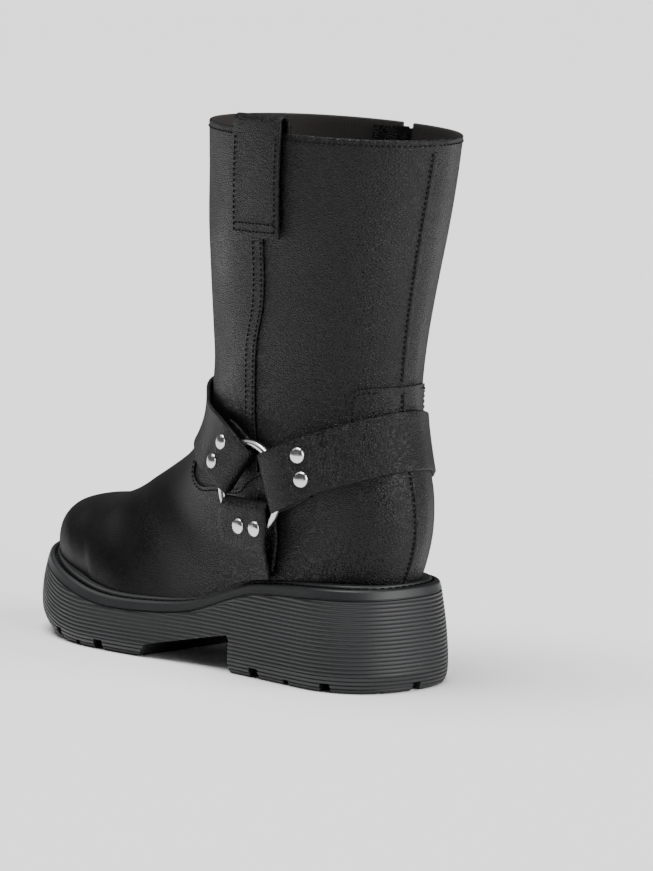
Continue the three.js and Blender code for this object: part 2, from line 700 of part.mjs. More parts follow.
// Pull loop over the collar, on the outer side
function pullLoop() {
  const z = COLLAR;
  const outerLow = z - LOOP_LEG;
  const innerLow = z - LOOP_INNER_LEG;
  const joint = z - 2 * LOOP_THICKNESS;
  const outerBase = OVERLAY + CLEAR;
  const outerBand = sideBand(LOOP_WIDTH, outerLow, joint, OUTER);
  const outerLeg = layer(outerBase, outerBase + LOOP_THICKNESS).intersect(outerBand);
  const innerBase = -LEATHER - CLEAR;
  const innerBand = sideBand(LOOP_WIDTH, innerLow, joint, OUTER);
  const innerLeg = layer(innerBase - LOOP_THICKNESS, innerBase).intersect(innerBand);
  const wall = surfaceAt(last(0), sideLine(joint), joint - LOOP_THICKNESS, OUTER).point.x;
  const outside = wall + outerBase + LOOP_THICKNESS;
  const within = wall + innerBase - LOOP_THICKNESS;
  const arch = archShape(within, outside, joint - LOOP_THICKNESS, z + LOOP_RISE);
  const length = { depth: LOOP_WIDTH, bevelEnabled: false, curveSegments: 4 };
  const bridge = new THREE.ExtrudeGeometry(arch, length);
  bridge.rotateX(Math.PI / 2);
  bridge.translate(0, HEEL_CENTRE - sideLine(z) + LOOP_WIDTH / 2, 0);
  const wallRoom = last(outerBase, CLEAR).subtract(last(innerBase, 3 * LEATHER));
  return outerLeg.add(innerLeg).add(solidOfGeometry(bridge)).subtract(wallRoom);
}

function archShape(left, right, low, spring) {
  const radius = (right - left) / 2;
  const shape = new THREE.Shape();
  shape.moveTo(right, low);
  shape.lineTo(right, spring - radius);
  shape.absarc(left + radius, spring, radius, 0, Math.PI, false);
  shape.lineTo(left, low);
  shape.lineTo(left + LOOP_THICKNESS, low);
  shape.lineTo(left + LOOP_THICKNESS, spring);
  shape.absarc(left + radius, spring, radius - LOOP_THICKNESS, Math.PI, 0, true);
  shape.lineTo(right - LOOP_THICKNESS, low);
  return shape;
}

// Zip on the inner side, closed, with its guard behind it
const TAPE_LOW = -LEATHER / 2 - ZIP_TAPE / 2;
const TEETH_LOW = TAPE_LOW + ZIP_TAPE + CLEAR;
const TEETH_HIGH = TEETH_LOW + TEETH_THICKNESS;
const SLIDER_UP = COLLAR - 12;
const SLIDER = { width: 7.5, length: 10, thickness: 2.4 };
const PULL = { width: 7, length: 24, thickness: 1.4, bar: 1.4, window: 4.2, windowWidth: 3.4 };
const BRIDGE = { width: 2.4, length: 7, height: 4.6, hole: 2.2 };
const PULL_AXIS_OUT = CLEAR + 1.3;

function zipTape() {
  const band = sideBand(ZIP_SLOT - 2 * CLEAR, ZIP_END + CLEAR, COLLAR - 3, INNER);
  return layer(TAPE_LOW, TAPE_LOW + ZIP_TAPE).intersect(band);
}
function zipTeeth() {
  return layer(TEETH_LOW, TEETH_HIGH).intersect(sideBand(ZIP_TEETH, ZIP_END + 3, SLIDER_UP, INNER));
}
function zipGuard() {
  const base = -LEATHER - CLEAR;
  const band = sideBand(GUARD_WIDTH, ZIP_END - 6, COLLAR - 2, INNER, GUARD_FORWARD);
  return layer(base - GUARD_THICKNESS, base).intersect(band);
}

const sliderBase = surfaceAt(last(TEETH_HIGH + CLEAR), sideLine(SLIDER_UP), SLIDER_UP, INNER).point;

// A box on the slider: centre along the sole and up from the slider's, and its near and far side
function sliderBox(width, length, near, far, up) {
  const box = new THREE.BoxGeometry(far - near, width, length);
  box.translate(sliderBase.x - (near + far) / 2, sliderBase.y, SLIDER_UP + up);
  return solidOfGeometry(box);
}

function zipSlider() {
  const body = sliderBox(SLIDER.width, SLIDER.length, CLEAR, SLIDER.thickness, 0);
  const top = SLIDER.thickness + BRIDGE.height;
  const bridge = sliderBox(BRIDGE.width, BRIDGE.length, SLIDER.thickness - CLEAR, top, 0);
  const hole = sliderBox(2 * BRIDGE.width, BRIDGE.length - 2.4, SLIDER.thickness, top - 1.2, 0);
  return body.add(bridge.subtract(hole));
}

function zipPull() {
  const middle = SLIDER.thickness + BRIDGE.hole;
  const [near, far] = [middle - PULL.thickness / 2, middle + PULL.thickness / 2];
  const plate = sliderBox(PULL.width, PULL.length, near, far, PULL.bar / 2 - PULL.length / 2);
  const window = sliderBox(PULL.windowWidth, PULL.window, near - 1, far + 1, -PULL.bar / 2 - PULL.window / 2);
  return plate.subtract(window);
}

const boot = new THREE.Group();
boot.name = "biker_boot_left";

function addPart(name, solid, finish) {
  const material = new THREE.MeshStandardMaterial(finish);
  const part = new THREE.Mesh(meshOf(solid), material);
  part.name = name;
  boot.add(part);
}

const RUBBER = { color: "#17181a", roughness: 0.45, metalness: 0 };
const GRAINED = { color: "#1b1b1d", roughness: 0.5, metalness: 0 };
const LINING = { color: "#3a3330", roughness: 0.9, metalness: 0 };
const STEEL = { color: "#c8c9cb", roughness: 0.2, metalness: 1 };
const TAPE = { color: "#141416", roughness: 0.85, metalness: 0 };

addPart("outsole", tread(), RUBBER);
addPart("welt", welt(), RUBBER);
addPart("insole", insole(), LINING);
addPart("upper", upper(), GRAINED);
addPart("pull_loop", pullLoop(), GRAINED);

const [heelRow, instepRow, stirrupRow] = STRAPS;
const carriers = { heel: strap(heelRow), instep: strap(instepRow) };
addPart("heel_strap", carriers.heel, GRAINED);
addPart("instep_strap", carriers.instep, GRAINED);
for (const [side, word] of [[OUTER, "lateral"], [INNER, "medial"]]) {
  carriers.stirrup = stirrup(stirrupRow, side);
  addPart("stirrup_strap_" + word, carriers.stirrup, GRAINED);
  addPart("ring_" + word, ringSolid(side, 0), STEEL);
  RIVETS.forEach((place, i) => {
    const name = ["rivet", place.strap, word, (i % 2) + 1].join("_");
    addPart(name, rivet(carriers[place.strap], place, side), STEEL);
  });
}
addPart("zip_tape", zipTape(), TAPE);
addPart("zip_teeth", zipTeeth(), STEEL);
addPart("zip_slider", zipSlider(), STEEL);
addPart("zip_pull", zipPull(), STEEL);
addPart("zip_guard", zipGuard(), GRAINED);

export default boot;
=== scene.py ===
import math
from collections import namedtuple

import bmesh
import bpy
from mathutils import Matrix, Vector
from mathutils.bvhtree import BVHTree


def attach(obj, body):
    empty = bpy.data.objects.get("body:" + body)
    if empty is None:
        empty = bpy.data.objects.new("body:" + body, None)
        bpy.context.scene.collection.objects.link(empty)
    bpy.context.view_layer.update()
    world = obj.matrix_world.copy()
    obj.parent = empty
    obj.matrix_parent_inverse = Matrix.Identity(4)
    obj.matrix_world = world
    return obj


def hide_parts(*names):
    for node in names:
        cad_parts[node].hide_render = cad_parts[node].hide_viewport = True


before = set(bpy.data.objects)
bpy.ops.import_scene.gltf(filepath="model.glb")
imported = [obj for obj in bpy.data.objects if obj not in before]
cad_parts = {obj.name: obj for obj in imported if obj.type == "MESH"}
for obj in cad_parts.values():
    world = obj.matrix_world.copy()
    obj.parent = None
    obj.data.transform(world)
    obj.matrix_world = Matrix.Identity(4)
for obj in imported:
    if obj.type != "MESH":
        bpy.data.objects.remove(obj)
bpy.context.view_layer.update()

bl_info = {
    "name": "Biker boot",
    "version": (1, 0, 0),
    "blender": (4, 5, 0),
    "location": "View3D > Sidebar > Boot",
    "description": "Dresses the packed frame of a biker boot in leather, rubber and nickel",
    "category": "Mesh",
}

# Lengths are in millimetres, and become metres where a point is placed. A point is given by its way
# across the boot (outer side positive), its way along the sole from the heel's back, and its height.
MM = 0.001
OUTER = 1
INNER = -1

# Sole
SOLE_LENGTH = 282.0
BALL_WIDTH = 100.0
HEEL_WIDTH = 82.0
HEEL_HEIGHT = 48.5
FORE_HEIGHT = 26.0
TOE_SPRING = 15.0
HEEL_BLOCK = 99.0
TREAD_START = 166.0
ARCH_HEIGHT = 18.8
ARCH_FRONT_HEIGHT = 7.4
HEEL_ROUND = 44.0
TOE_ROUND = 82.0
END_POWER = 2.35
BAND_HEIGHT = 4.0
WELT_HEIGHT = 3.2
HEEL_CENTRE = HEEL_BLOCK / 2

# Upper
LEATHER = 2.2
OVERLAY = 1.0
CLEAR = 0.3
SHAFT_HEIGHT = 224.0
SHAFT_WIDTH = 100.0
STRIP_WIDTH = 9.0
STRIP_END = 103.0
SUNK = 0.02
AROUND = 96
ROWS_PER_SECTION = 5

# Harness
STRAP = 2.3
EDGE_ROUND = 0.32
STRAP_BASE = OVERLAY + CLEAR
STRAP_WIDTH = 29.0
RING_RADIUS = 22.0
RING_WIRE = 4.0
RING_ALONG = 0.2855 * SOLE_LENGTH
RING_UP = HEEL_HEIGHT + 0.212 * SHAFT_HEIGHT
FOLD_HALF = RING_WIRE / 2 + CLEAR + STRAP
RIVET_RADIUS = 4.0
RIVET_DOME = 2.2

# Pull loop and zip
LOOP_WIDTH = 35.0
LOOP_LEG = 53.0
LOOP_INNER_LEG = 34.0
LOOP_RISE = 4.0
LOOP_THICKNESS = 2.0
ZIP_SLOT = 9.0
ZIP_END = 124.0

# Columns: place along the sole, half width in heel widths and in ball widths, sideways shift.
SOLE_PLAN = (
    (0.0, 0.5, 0.0, 0.0),
    (0.16, 0.5, 0.0, 0.0),
    (0.3, 0.48, 0.01, 0.0),
    (0.42, 0.36, 0.11, -0.004),
    (0.52, 0.16, 0.305, -0.008),
    (0.62, 0.04, 0.445, -0.012),
    (0.72, 0.0, 0.498, -0.018),
    (0.82, 0.0, 0.5, -0.035),
    (0.92, 0.0, 0.492, -0.05),
    (1.0, 0.0, 0.486, -0.06),
)
# Columns: place along the sole, level of its upper edge between forefoot and heel.
SOLE_TOP = (
    (0.0, 1.04),
    (0.14, 1.0),
    (0.3, 0.83),
    (0.37, 0.57),
    (0.47, 0.18),
    (0.58, 0.03),
    (0.7, 0.02),
    (0.82, 0.27),
    (0.92, 0.56),
    (1.0, 0.8),
)
# Columns: place along the sole, lift of the tread in toe springs.
TREAD_LIFT = ((0.76, 0.0), (0.83, 0.12), (0.9, 0.42), (1.0, 1.0))
# Columns: share of the side wall's height, inset from the sole's widest line.
WALL_LEAN = ((0.0, 2.2), (0.05, 0.9), (0.14, 0.1), (0.3, 0.0), (0.6, 1.0), (1.0, 3.6))
# Columns: share of a rib's pitch, depth in rib depths.
RIB_PROFILE = ((0.2, 0.45), (0.35, 0.0), (0.8, 0.0), (1.0, 1.0))
# Groove under the smooth band. Columns: depth, rise.
GROOVE = ((0.5, 0.15), (0.9, 0.4), (0.9, 0.7), (0.4, 0.95), (0.0, 1.1))
# Columns: inset, rise above the sole's upper edge.
LIP = ((4.0, 0.0), (4.2, 0.7), (4.8, 1.3), (5.8, 1.8), (6.6, 1.7), (7.1, 1.2), (7.3, 0.3))
WELT = ((8.2, 0.6), (8.2, 1.9), (8.5, 2.7), (9.1, 3.15), (10.0, 3.2), (17.0, 3.2), (17.0, 0.6))
# Columns: place along the sole, place out from its middle in half widths, turn, width, height, depth.
NOTCHES = (
    (0.279, 0.97, 0, 8, 5, 14),
    (0.191, 0.97, 0, 4.5, 2.6, 8),
    (0.096, 0.9, 12, 7, 4.4, 13),
    (0.033, 0.62, 50, 4.5, 2.6, 9),
    (0.688, 0.97, 0, 8, 5, 14),
    (0.75, 0.97, 0, 4.5, 2.6, 8),
    (0.818, 0.94, -15, 7, 5, 14),
    (0.886, 0.8, -30, 4.5, 2.6, 9),
    (0.95, 0.58, -52, 4.5, 2.6, 9),
)
# Columns: share of the shaft's height, place along the sole.
SIDE_LINE = (
    (-0.2, 0.3),
    (0.3, 0.3),
    (0.38, 0.3),
    (0.52, 0.286),
    (0.63, 0.255),
    (0.775, 0.2385),
    (1.0, 0.218),
    (1.3, 0.19),
)
# Upper edge of the raised vamp and counter. Columns: place along the sole, share of the shaft's height.
OVERLAY_EDGE = (
    (0.66, 0.35),
    (0.535, 0.345),
    (0.507, 0.292),
    (0.516, 0.216),
    (0.495, 0.19),
    (0.468, 0.183),
    (0.421, 0.192),
    (0.35, 0.194),
    (0.325, 0.219),
    (0.296, 0.237),
    (0.259, 0.254),
    (0.18, 0.285),
    (0.093, 0.325),
    (0.086, 0.378),
    (0.086, 0.42),
    (0.079, 0.437),
    (0.066, 0.447),
    (0.04, 0.45),
    (-0.1, 0.45),
)
# Turns of a strap's folded end and of its rest are in degrees, and the others in strap widths: the
# fold's distance from the ring's centre, its width, the strap's width and the fold's shift to one side.
Strap = namedtuple("Strap", "fold_turn turn end fold_width width shift")
STRAPS = {
    "heel": Strap(160.0, 160.0, 0.452, 1.05, 1.0, 0.06),
    "instep": Strap(42.0, 24.5, 0.328, 1.035, 1.2, 0.0),
    "stirrup": Strap(-89.0, -83.0, 0.207, 1.15, 1.0, 0.033),
}
# Distances from the ring's centre over which a strap turns and widens from its fold to its own line,
# over which it comes down on the boot's side, and over which the lower layer ends under it.
BEND_AWAY = (20, 48)
WIDEN = (22, 46)
COME_DOWN = (24, 44)
TUCK = 12
LAYER_END = (48, 60)
# Columns: strap, place forward of and above the ring's centre in ring radii.
RIVETS = (
    ("heel", -1.64, 0.89),
    ("heel", -1.76, 0.36),
    ("instep", 0.82, 0.97),
    ("instep", 1.15, 0.5),
    ("stirrup", 0.19, -0.89),
    ("stirrup", -0.37, -0.89),
)
# Sections of the last from the collar to the toe. Columns: back point, front point (along, up),
# half width in shaft, heel and ball widths, shift at back and front, widest place, powers.
SECTIONS = (
    (-0.046, 0.991, 0.486, 1.018, 0.495, 0.000, 0.000, 0.000, 0.000, 0.50, 2.10, 2.10),
    (-0.030, 0.900, 0.484, 0.908, 0.485, 0.000, 0.000, 0.000, 0.000, 0.50, 2.15, 2.15),
    (-0.007, 0.783, 0.486, 0.792, 0.460, 0.000, 0.000, 0.000, 0.000, 0.50, 2.25, 2.25),
    (0.014, 0.663, 0.489, 0.672, 0.425, 0.000, 0.000, 0.000, 0.000, 0.50, 2.25, 2.25),
    (0.030, 0.551, 0.491, 0.560, 0.398, 0.000, 0.000, 0.000, 0.000, 0.50, 2.20, 2.20),
    (0.039, 0.453, 0.496, 0.480, 0.378, 0.000, 0.000, 0.000, 0.000, 0.48, 2.15, 2.15),
    (0.039, 0.373, 0.507, 0.426, 0.368, 0.000, 0.000, 0.000, 0.000, 0.46, 2.10, 2.10),
    (0.025, 0.283, 0.514, 0.373, 0.288, 0.088, 0.000, 0.000, 0.000, 0.44, 2.10, 2.10),
    (0.009, 0.194, 0.528, 0.328, 0.176, 0.215, 0.000, 0.000, 0.000, 0.42, 2.15, 2.15),
    (0.010, 0.105, 0.553, 0.283, 0.068, 0.330, 0.000, 0.000, 0.000, 0.42, 2.20, 2.20),
    (0.041, 0.007, 0.585, 0.246, 0.000, 0.395, 0.000, 0.000, 0.000, 0.42, 2.40, 2.20),
    (0.082, -0.074, 0.626, 0.217, 0.000, 0.383, 0.000, 0.000, -0.010, 0.42, 2.45, 2.20),
    (0.170, -0.092, 0.667, 0.190, 0.000, 0.368, 0.000, 0.000, -0.015, 0.40, 2.40, 2.20),
    (0.301, -0.118, 0.702, 0.167, 0.000, 0.301, 0.062, 0.000, -0.020, 0.36, 2.50, 2.20),
    (0.426, -0.163, 0.734, 0.145, 0.000, 0.236, 0.129, 0.000, -0.025, 0.30, 2.50, 2.20),
    (0.532, -0.190, 0.766, 0.127, 0.000, 0.105, 0.260, 0.000, -0.030, 0.25, 2.50, 2.20),
    (0.631, -0.199, 0.791, 0.116, 0.000, 0.000, 0.374, -0.010, -0.035, 0.22, 2.50, 2.25),
    (0.709, -0.199, 0.819, 0.107, 0.000, 0.000, 0.378, -0.020, -0.040, 0.20, 2.50, 2.30),
    (0.730, -0.199, 0.851, 0.102, 0.000, 0.000, 0.364, -0.020, -0.045, 0.20, 2.50, 2.40),
    (0.738, -0.199, 0.888, 0.095, 0.000, 0.000, 0.352, -0.020, -0.050, 0.20, 2.50, 2.60),
    (0.741, -0.199, 0.922, 0.081, 0.000, 0.000, 0.344, -0.020, -0.055, 0.20, 2.50, 2.75),
    (0.745, -0.199, 0.949, 0.054, 0.000, 0.000, 0.338, -0.020, -0.060, 0.20, 2.50, 2.75),
    (0.745, -0.199, 0.959, 0.016, 0.000, 0.000, 0.332, -0.020, -0.060, 0.20, 2.50, 2.60),
    (0.745, -0.199, 0.950, -0.033, 0.000, 0.000, 0.326, -0.020, -0.060, 0.20, 2.50, 2.45),
    (0.745, -0.199, 0.933, -0.092, 0.000, 0.000, 0.324, -0.020, -0.060, 0.20, 2.50, 2.30),
)


def smooth_at(rows, column, at):
    """Value of a table's column at a place given by its first column, on a smooth curve."""
    if at <= rows[0][0]:
        return rows[0][column]
    if at >= rows[-1][0]:
        return rows[-1][column]
    i = 0
    while at > rows[i + 1][0]:
        i += 1

    def slope(k):
        before, after = rows[max(k - 1, 0)], rows[min(k + 1, len(rows) - 1)]
        return (after[column] - before[column]) / (after[0] - before[0])

    step = rows[i + 1][0] - rows[i][0]
    t = (at - rows[i][0]) / step
    start = (1 + 2 * t) * (1 - t) ** 2 * rows[i][column] + t * (1 - t) ** 2 * step * slope(i)
    end = t**2 * (3 - 2 * t) * rows[i + 1][column] - t**2 * (1 - t) * step * slope(i + 1)
    return start + end


def between(rows, place):
    """Row of numbers at a fractional place in a table, on a smooth curve through its rows."""
    i = min(int(place), len(rows) - 2)
    t = place - i
    near = rows[max(i - 1, 0)], rows[i], rows[i + 1], rows[min(i + 2, len(rows) - 1)]
    return [
        0.5 * (2 * q + (r - p) * t + (2 * p - 5 * q + 4 * r - s) * t**2 + (3 * q - p - 3 * r + s) * t**3)
        for p, q, r, s in zip(*near)
    ]


def ease(start, end, value):
    """0 before start, 1 after end, and smooth between them."""
    t = min(max((value - start) / (end - start), 0.0), 1.0)
    return t * t * (3 - 2 * t)


def mix(a, b, share):
    return a + (b - a) * share


def point(x, s, z):
    return Vector((x, HEEL_CENTRE - s, z)) * MM


# Form of the last


def last_ring(place, grow, count=AROUND, lift=0.0):
    """Ring round the last at a place in its table, grown outwards and lifted off its own plane."""
    row = between(SECTIONS, place)
    back_s, back_z, front_s, front_z, shaft, heel, ball = row[:7]
    back_shift, front_shift, widest, back_power, front_power = row[7:]
    back = Vector((back_s * SOLE_LENGTH, HEEL_HEIGHT + back_z * SHAFT_HEIGHT))
    front = Vector((front_s * SOLE_LENGTH, HEEL_HEIGHT + front_z * SHAFT_HEIGHT))
    axis = front - back
    length = axis.length
    axis /= length
    half = shaft * SHAFT_WIDTH + heel * HEEL_WIDTH + ball * BALL_WIDTH + grow
    wide = widest * length
    ring = []
    for j in range(count):
        c, d = math.cos(math.tau * j / count), math.sin(math.tau * j / count)
        power = front_power if c > 0 else back_power
        reach = abs(c) ** (2 / power)
        at = wide + (length - wide + grow) * reach if c > 0 else wide - (wide + grow) * reach
        shift = mix(back_shift, front_shift, at / length) * BALL_WIDTH
        across = math.copysign(abs(d) ** (2 / power), d) * half if abs(d) > 1e-9 else 0.0
        s, z = back.x + axis.x * at - axis.y * lift, back.y + axis.y * at + axis.x * lift
        ring.append((shift + across, s, z))
    return ring


PLACES = [i / ROWS_PER_SECTION for i in range((len(SECTIONS) - 1) * ROWS_PER_SECTION + 1)]


def lattice(rows, closed_along=False):
    """Mesh of a grid whose rows are closed rings of points."""
    rings = list(rows) + ([rows[0]] if closed_along else [])
    columns = len(rings[0])
    made = bmesh.new()
    made.loops.layers.uv.new("UVMap")
    bmesh.ops.create_grid(made, x_segments=columns, y_segments=len(rings) - 1, size=0.5, calc_uvs=True)
    for v in made.verts:
        column = round((v.co.x + 0.5) * columns) % columns
        row = round((v.co.y + 0.5) * (len(rings) - 1))
        v.co = point(*rings[row][column])
    bmesh.ops.remove_doubles(made, verts=made.verts, dist=1e-7)
    bmesh.ops.dissolve_degenerate(made, edges=made.edges, dist=1e-8)
    if not closed_along:
        ends = [e for e in made.edges if e.is_boundary]
        if ends:
            bmesh.ops.holes_fill(made, edges=ends, sides=0)
    bmesh.ops.recalc_face_normals(made, faces=made.faces)
    return made


def last_solid(grow, collar_lift=0.0):
    rings = [last_ring(place, grow) for place in PLACES]
    if collar_lift:
        rings.insert(0, last_ring(0, grow, lift=collar_lift))
    return lattice(rings)


TREES = {}


def skin(grow):
    """Search tree of the last's surface, grown by a distance."""
    if grow not in TREES:
        solid = last_solid(grow, collar_lift=6 * LEATHER)
        TREES[grow] = BVHTree.FromBMesh(solid)
        solid.free()
    return TREES[grow]


def side_x(grow, s, z, side=OUTER):
    """How far out the grown last's side lies at a place seen from the side."""
    hit = skin(grow).ray_cast(point(side * 2 * SHAFT_WIDTH, s, z), Vector((-side, 0, 0)))[0]
    return None if hit is None else hit.x / MM


# Tools on meshes


def shown(mesh_data, name):
    mesh = bpy.data.meshes.new(name)
    mesh_data.to_mesh(mesh)
    mesh_data.free()
    made = bpy.data.objects.new(name, mesh)
    bpy.context.scene.collection.objects.link(made)
    return made


def combined(body, tool, operation):
    """Body cut by a tool, met with it, or joined to it."""
    body_object = shown(body, "cut_body")
    tool_object = shown(tool, "cut_tool")
    change = body_object.modifiers.new("cut", "BOOLEAN")
    change.object = tool_object
    change.operation = operation
    change.solver = "MANIFOLD"
    changed = body_object.evaluated_get(bpy.context.evaluated_depsgraph_get())
    mesh = bpy.data.meshes.new_from_object(changed)
    made = bmesh.new()
    made.from_mesh(mesh)
    for old in (body_object, tool_object):
        data = old.data
        bpy.data.objects.remove(old)
        bpy.data.meshes.remove(data)
    bpy.data.meshes.remove(mesh)
    return made


def piece(made, name, materials, body="boot", stands_for=(), crease=35.0, slot_of=None):
    """Finished piece of the boot, shaded smooth up to a crease angle."""
    for face in made.faces:
        face.material_index = slot_of(face) if slot_of else 0
    bmesh.ops.triangulate(made, faces=[f for f in made.faces if len(f.verts) > 4])
    result = shown(made, name)
    result.data.shade_smooth()
    result.data.set_sharp_from_angle(angle=math.radians(crease))
    for material in materials:
        result.data.materials.append(material)
    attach(result, body)
    if stands_for:
        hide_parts(*stands_for)
    return result


def prism(outline, low_x, high_x):
    """Straight prism across the boot from an outline seen from the side."""
    made = bmesh.new()
    face = made.faces.new([made.verts.new(point(low_x, s, z)) for s, z in outline])
    grown = bmesh.ops.extrude_face_region(made, geom=[face])["geom"]
    moved = [v for v in grown if isinstance(v, bmesh.types.BMVert)]
    bmesh.ops.translate(made, verts=moved, vec=Vector(((high_x - low_x) * MM, 0, 0)))
    bmesh.ops.recalc_face_normals(made, faces=made.faces)
    return made


def smooth_outline(points, steps):
    """Smooth line through points, with a number of steps between each two."""
    count = (len(points) - 1) * steps
    return [between(points, i / steps) for i in range(count)] + [points[-1]]


# Form of the sole


def sole_edge(s, side):
    heel = max(0.0, 1 - s / HEEL_ROUND)
    toe = max(0.0, 1 - (SOLE_LENGTH - s) / TOE_ROUND)
    rounding = ((1 - heel**END_POWER) * (1 - toe**END_POWER)) ** (1 / END_POWER)
    heel_share, ball_share, shift = (smooth_at(SOLE_PLAN, c, s / SOLE_LENGTH) for c in (1, 2, 3))
    return BALL_WIDTH * shift + side * rounding * (HEEL_WIDTH * heel_share + BALL_WIDTH * ball_share)


def sole_stations():
    heel_steps, waist_steps, toe_steps = 14, 18, 20
    waist = SOLE_LENGTH - TOE_ROUND - HEEL_ROUND
    stations = [HEEL_ROUND * (1 - math.cos(i / heel_steps * math.pi / 2)) for i in range(heel_steps)]
    stations += [HEEL_ROUND + i / waist_steps * waist for i in range(waist_steps)]
    turns = [i / toe_steps * math.pi / 2 for i in range(toe_steps + 1)]
    return stations + [SOLE_LENGTH - TOE_ROUND * (1 - math.sin(turn)) for turn in turns]


STATIONS = sole_stations()
PLAN = [(s, sole_edge(s, OUTER)) for s in STATIONS]
PLAN += [(s, sole_edge(s, INNER)) for s in reversed(STATIONS[1:-1])]


def sole_top(s):
    return FORE_HEIGHT + (HEEL_HEIGHT - FORE_HEIGHT) * smooth_at(SOLE_TOP, 1, s / SOLE_LENGTH)


def tread_lift(s):
    return TOE_SPRING * smooth_at(TREAD_LIFT, 1, s / SOLE_LENGTH)


def seat(s):
    return sole_top(s) + CLEAR


def sole_lean(s, z):
    return smooth_at(WALL_LEAN, 1, (z - tread_lift(s)) / (sole_top(s) - tread_lift(s)))


def sole_ring(inset_at, height_at, towards_middle=0.0):
    """Ring round the sole, in from its widest line, and drawn to its middle line by a share."""
    ring = []
    for i, (s, x) in enumerate(PLAN):
        s0, x0 = PLAN[i - 1]
        s1, x1 = PLAN[(i + 1) % len(PLAN)]
        length = math.hypot(s1 - s0, x1 - x0)
        inset = inset_at(s)
        along = s + inset * (x1 - x0) / length
        across = x - inset * (s1 - s0) / length
        middle = BALL_WIDTH * smooth_at(SOLE_PLAN, 3, s / SOLE_LENGTH)
        ring.append((mix(across, middle, towards_middle), along, height_at(along)))
    return ring


def outsole_rings(rib_pitch, rib_depth):
    """Rings of the outsole from the middle of its tread over its ribbed wall and lip to its seat."""

    def groove_line(s):
        return sole_top(s) - BAND_HEIGHT

    def wall_ring(height, depth, towards_middle=0.0):
        return sole_ring(lambda s: sole_lean(s, height(s)) + depth(s), height, towards_middle)

    rings = [wall_ring(tread_lift, lambda s: 0.0, share) for share in (1.0, 0.9, 0.6, 0.3, 0.1, 0.0)]
    for k in range(math.ceil((HEEL_HEIGHT * 1.05 - BAND_HEIGHT) / rib_pitch)):
        for share, sunk in RIB_PROFILE:

            def free(s):
                return tread_lift(s) + (k + share) * rib_pitch

            def depth(s):
                return rib_depth * sunk if free(s) < groove_line(s) else 0.0

            rings.append(wall_ring(lambda s: min(free(s), groove_line(s)), depth))
    for sunk, rise in GROOVE:
        rings.append(wall_ring(lambda s: groove_line(s) + rise, lambda s: sunk))
    for inset, rise in smooth_outline(LIP, 2):
        rings.append(sole_ring(lambda s: inset, lambda s: sole_top(s) + rise))
    for share in (0.0, 0.3, 0.7, 1.0):
        rings.append(sole_ring(lambda s: LIP[-1][0], seat, share))
    return rings


def below_seat(rise, low=-120.0):
    """Block that ends a little above the seat of the upper."""
    far, steps = 60.0, 90
    top = [(-far + i / steps * (SOLE_LENGTH + 2 * far)) for i in range(steps + 1)]
    outline = [(s, seat(s) + rise) for s in top] + [(SOLE_LENGTH + far, low), (-far, low)]
    return prism(outline, -SHAFT_WIDTH, SHAFT_WIDTH)


def side_line(z):
    return SOLE_LENGTH * smooth_at(SIDE_LINE, 1, (z - HEEL_HEIGHT) / SHAFT_HEIGHT)


COLLAR = HEEL_HEIGHT + 1.009 * SHAFT_HEIGHT


# Straps and other bands of leather


def rounded_section(width, thickness, across_steps=10):
    """Section of a band: places across it from -1 to 1, and from 0 at its inner face to 1 at its outer."""
    inner = 1 - 2 * EDGE_ROUND * thickness / width
    corner = [(0.0, 0.0), (0.5, 0.07), (0.87, 0.26), (1.0, 0.5)]
    side = [(mix(inner, 1.0, out), up) for out, up in corner]
    side += [(x, 1 - up) for x, up in reversed(side[:-1])]
    top = [(inner - 2 * inner * i / across_steps, 1.0) for i in range(1, across_steps)]
    return side + top + [(-x, 1 - up) for x, up in side] + [(-x, 0.0) for x, _ in top]


def swept(places, section, at):
    """Rings of a band. The function at gives a point for each place along it and across its section."""
    return [[at(place, across, up) for across, up in section] for place in places]


def bent(strap, distance, across):
    """Place on a strap seen from the side. It bends from its fold's turn to its own."""
    found = []
    for degrees, shift in ((strap.fold_turn, strap.shift * STRAP_WIDTH), (strap.turn, 0.0)):
        angle = math.radians(degrees)
        c, d = math.cos(angle), math.sin(angle)
        out = across + shift
        found.append(Vector((RING_ALONG + distance * c - out * d, RING_UP + distance * d + out * c)))
    return found[0].lerp(found[1], ease(*BEND_AWAY, distance))


RING_OUT = side_x(STRAP_BASE, RING_ALONG, RING_UP) + FOLD_HALF


def strap_width(strap, distance):
    return STRAP_WIDTH * mix(strap.fold_width, strap.width, ease(*WIDEN, distance))


def fold_centre(strap):
    return strap.end * STRAP_WIDTH + FOLD_HALF


def on_side(s, z, offset):
    """Way out from the boot's side at an offset from the strap's lower face."""
    low = side_x(STRAP_BASE, s, z)
    high = side_x(STRAP_BASE + STRAP, s, z)
    return mix(low, high, offset / STRAP)


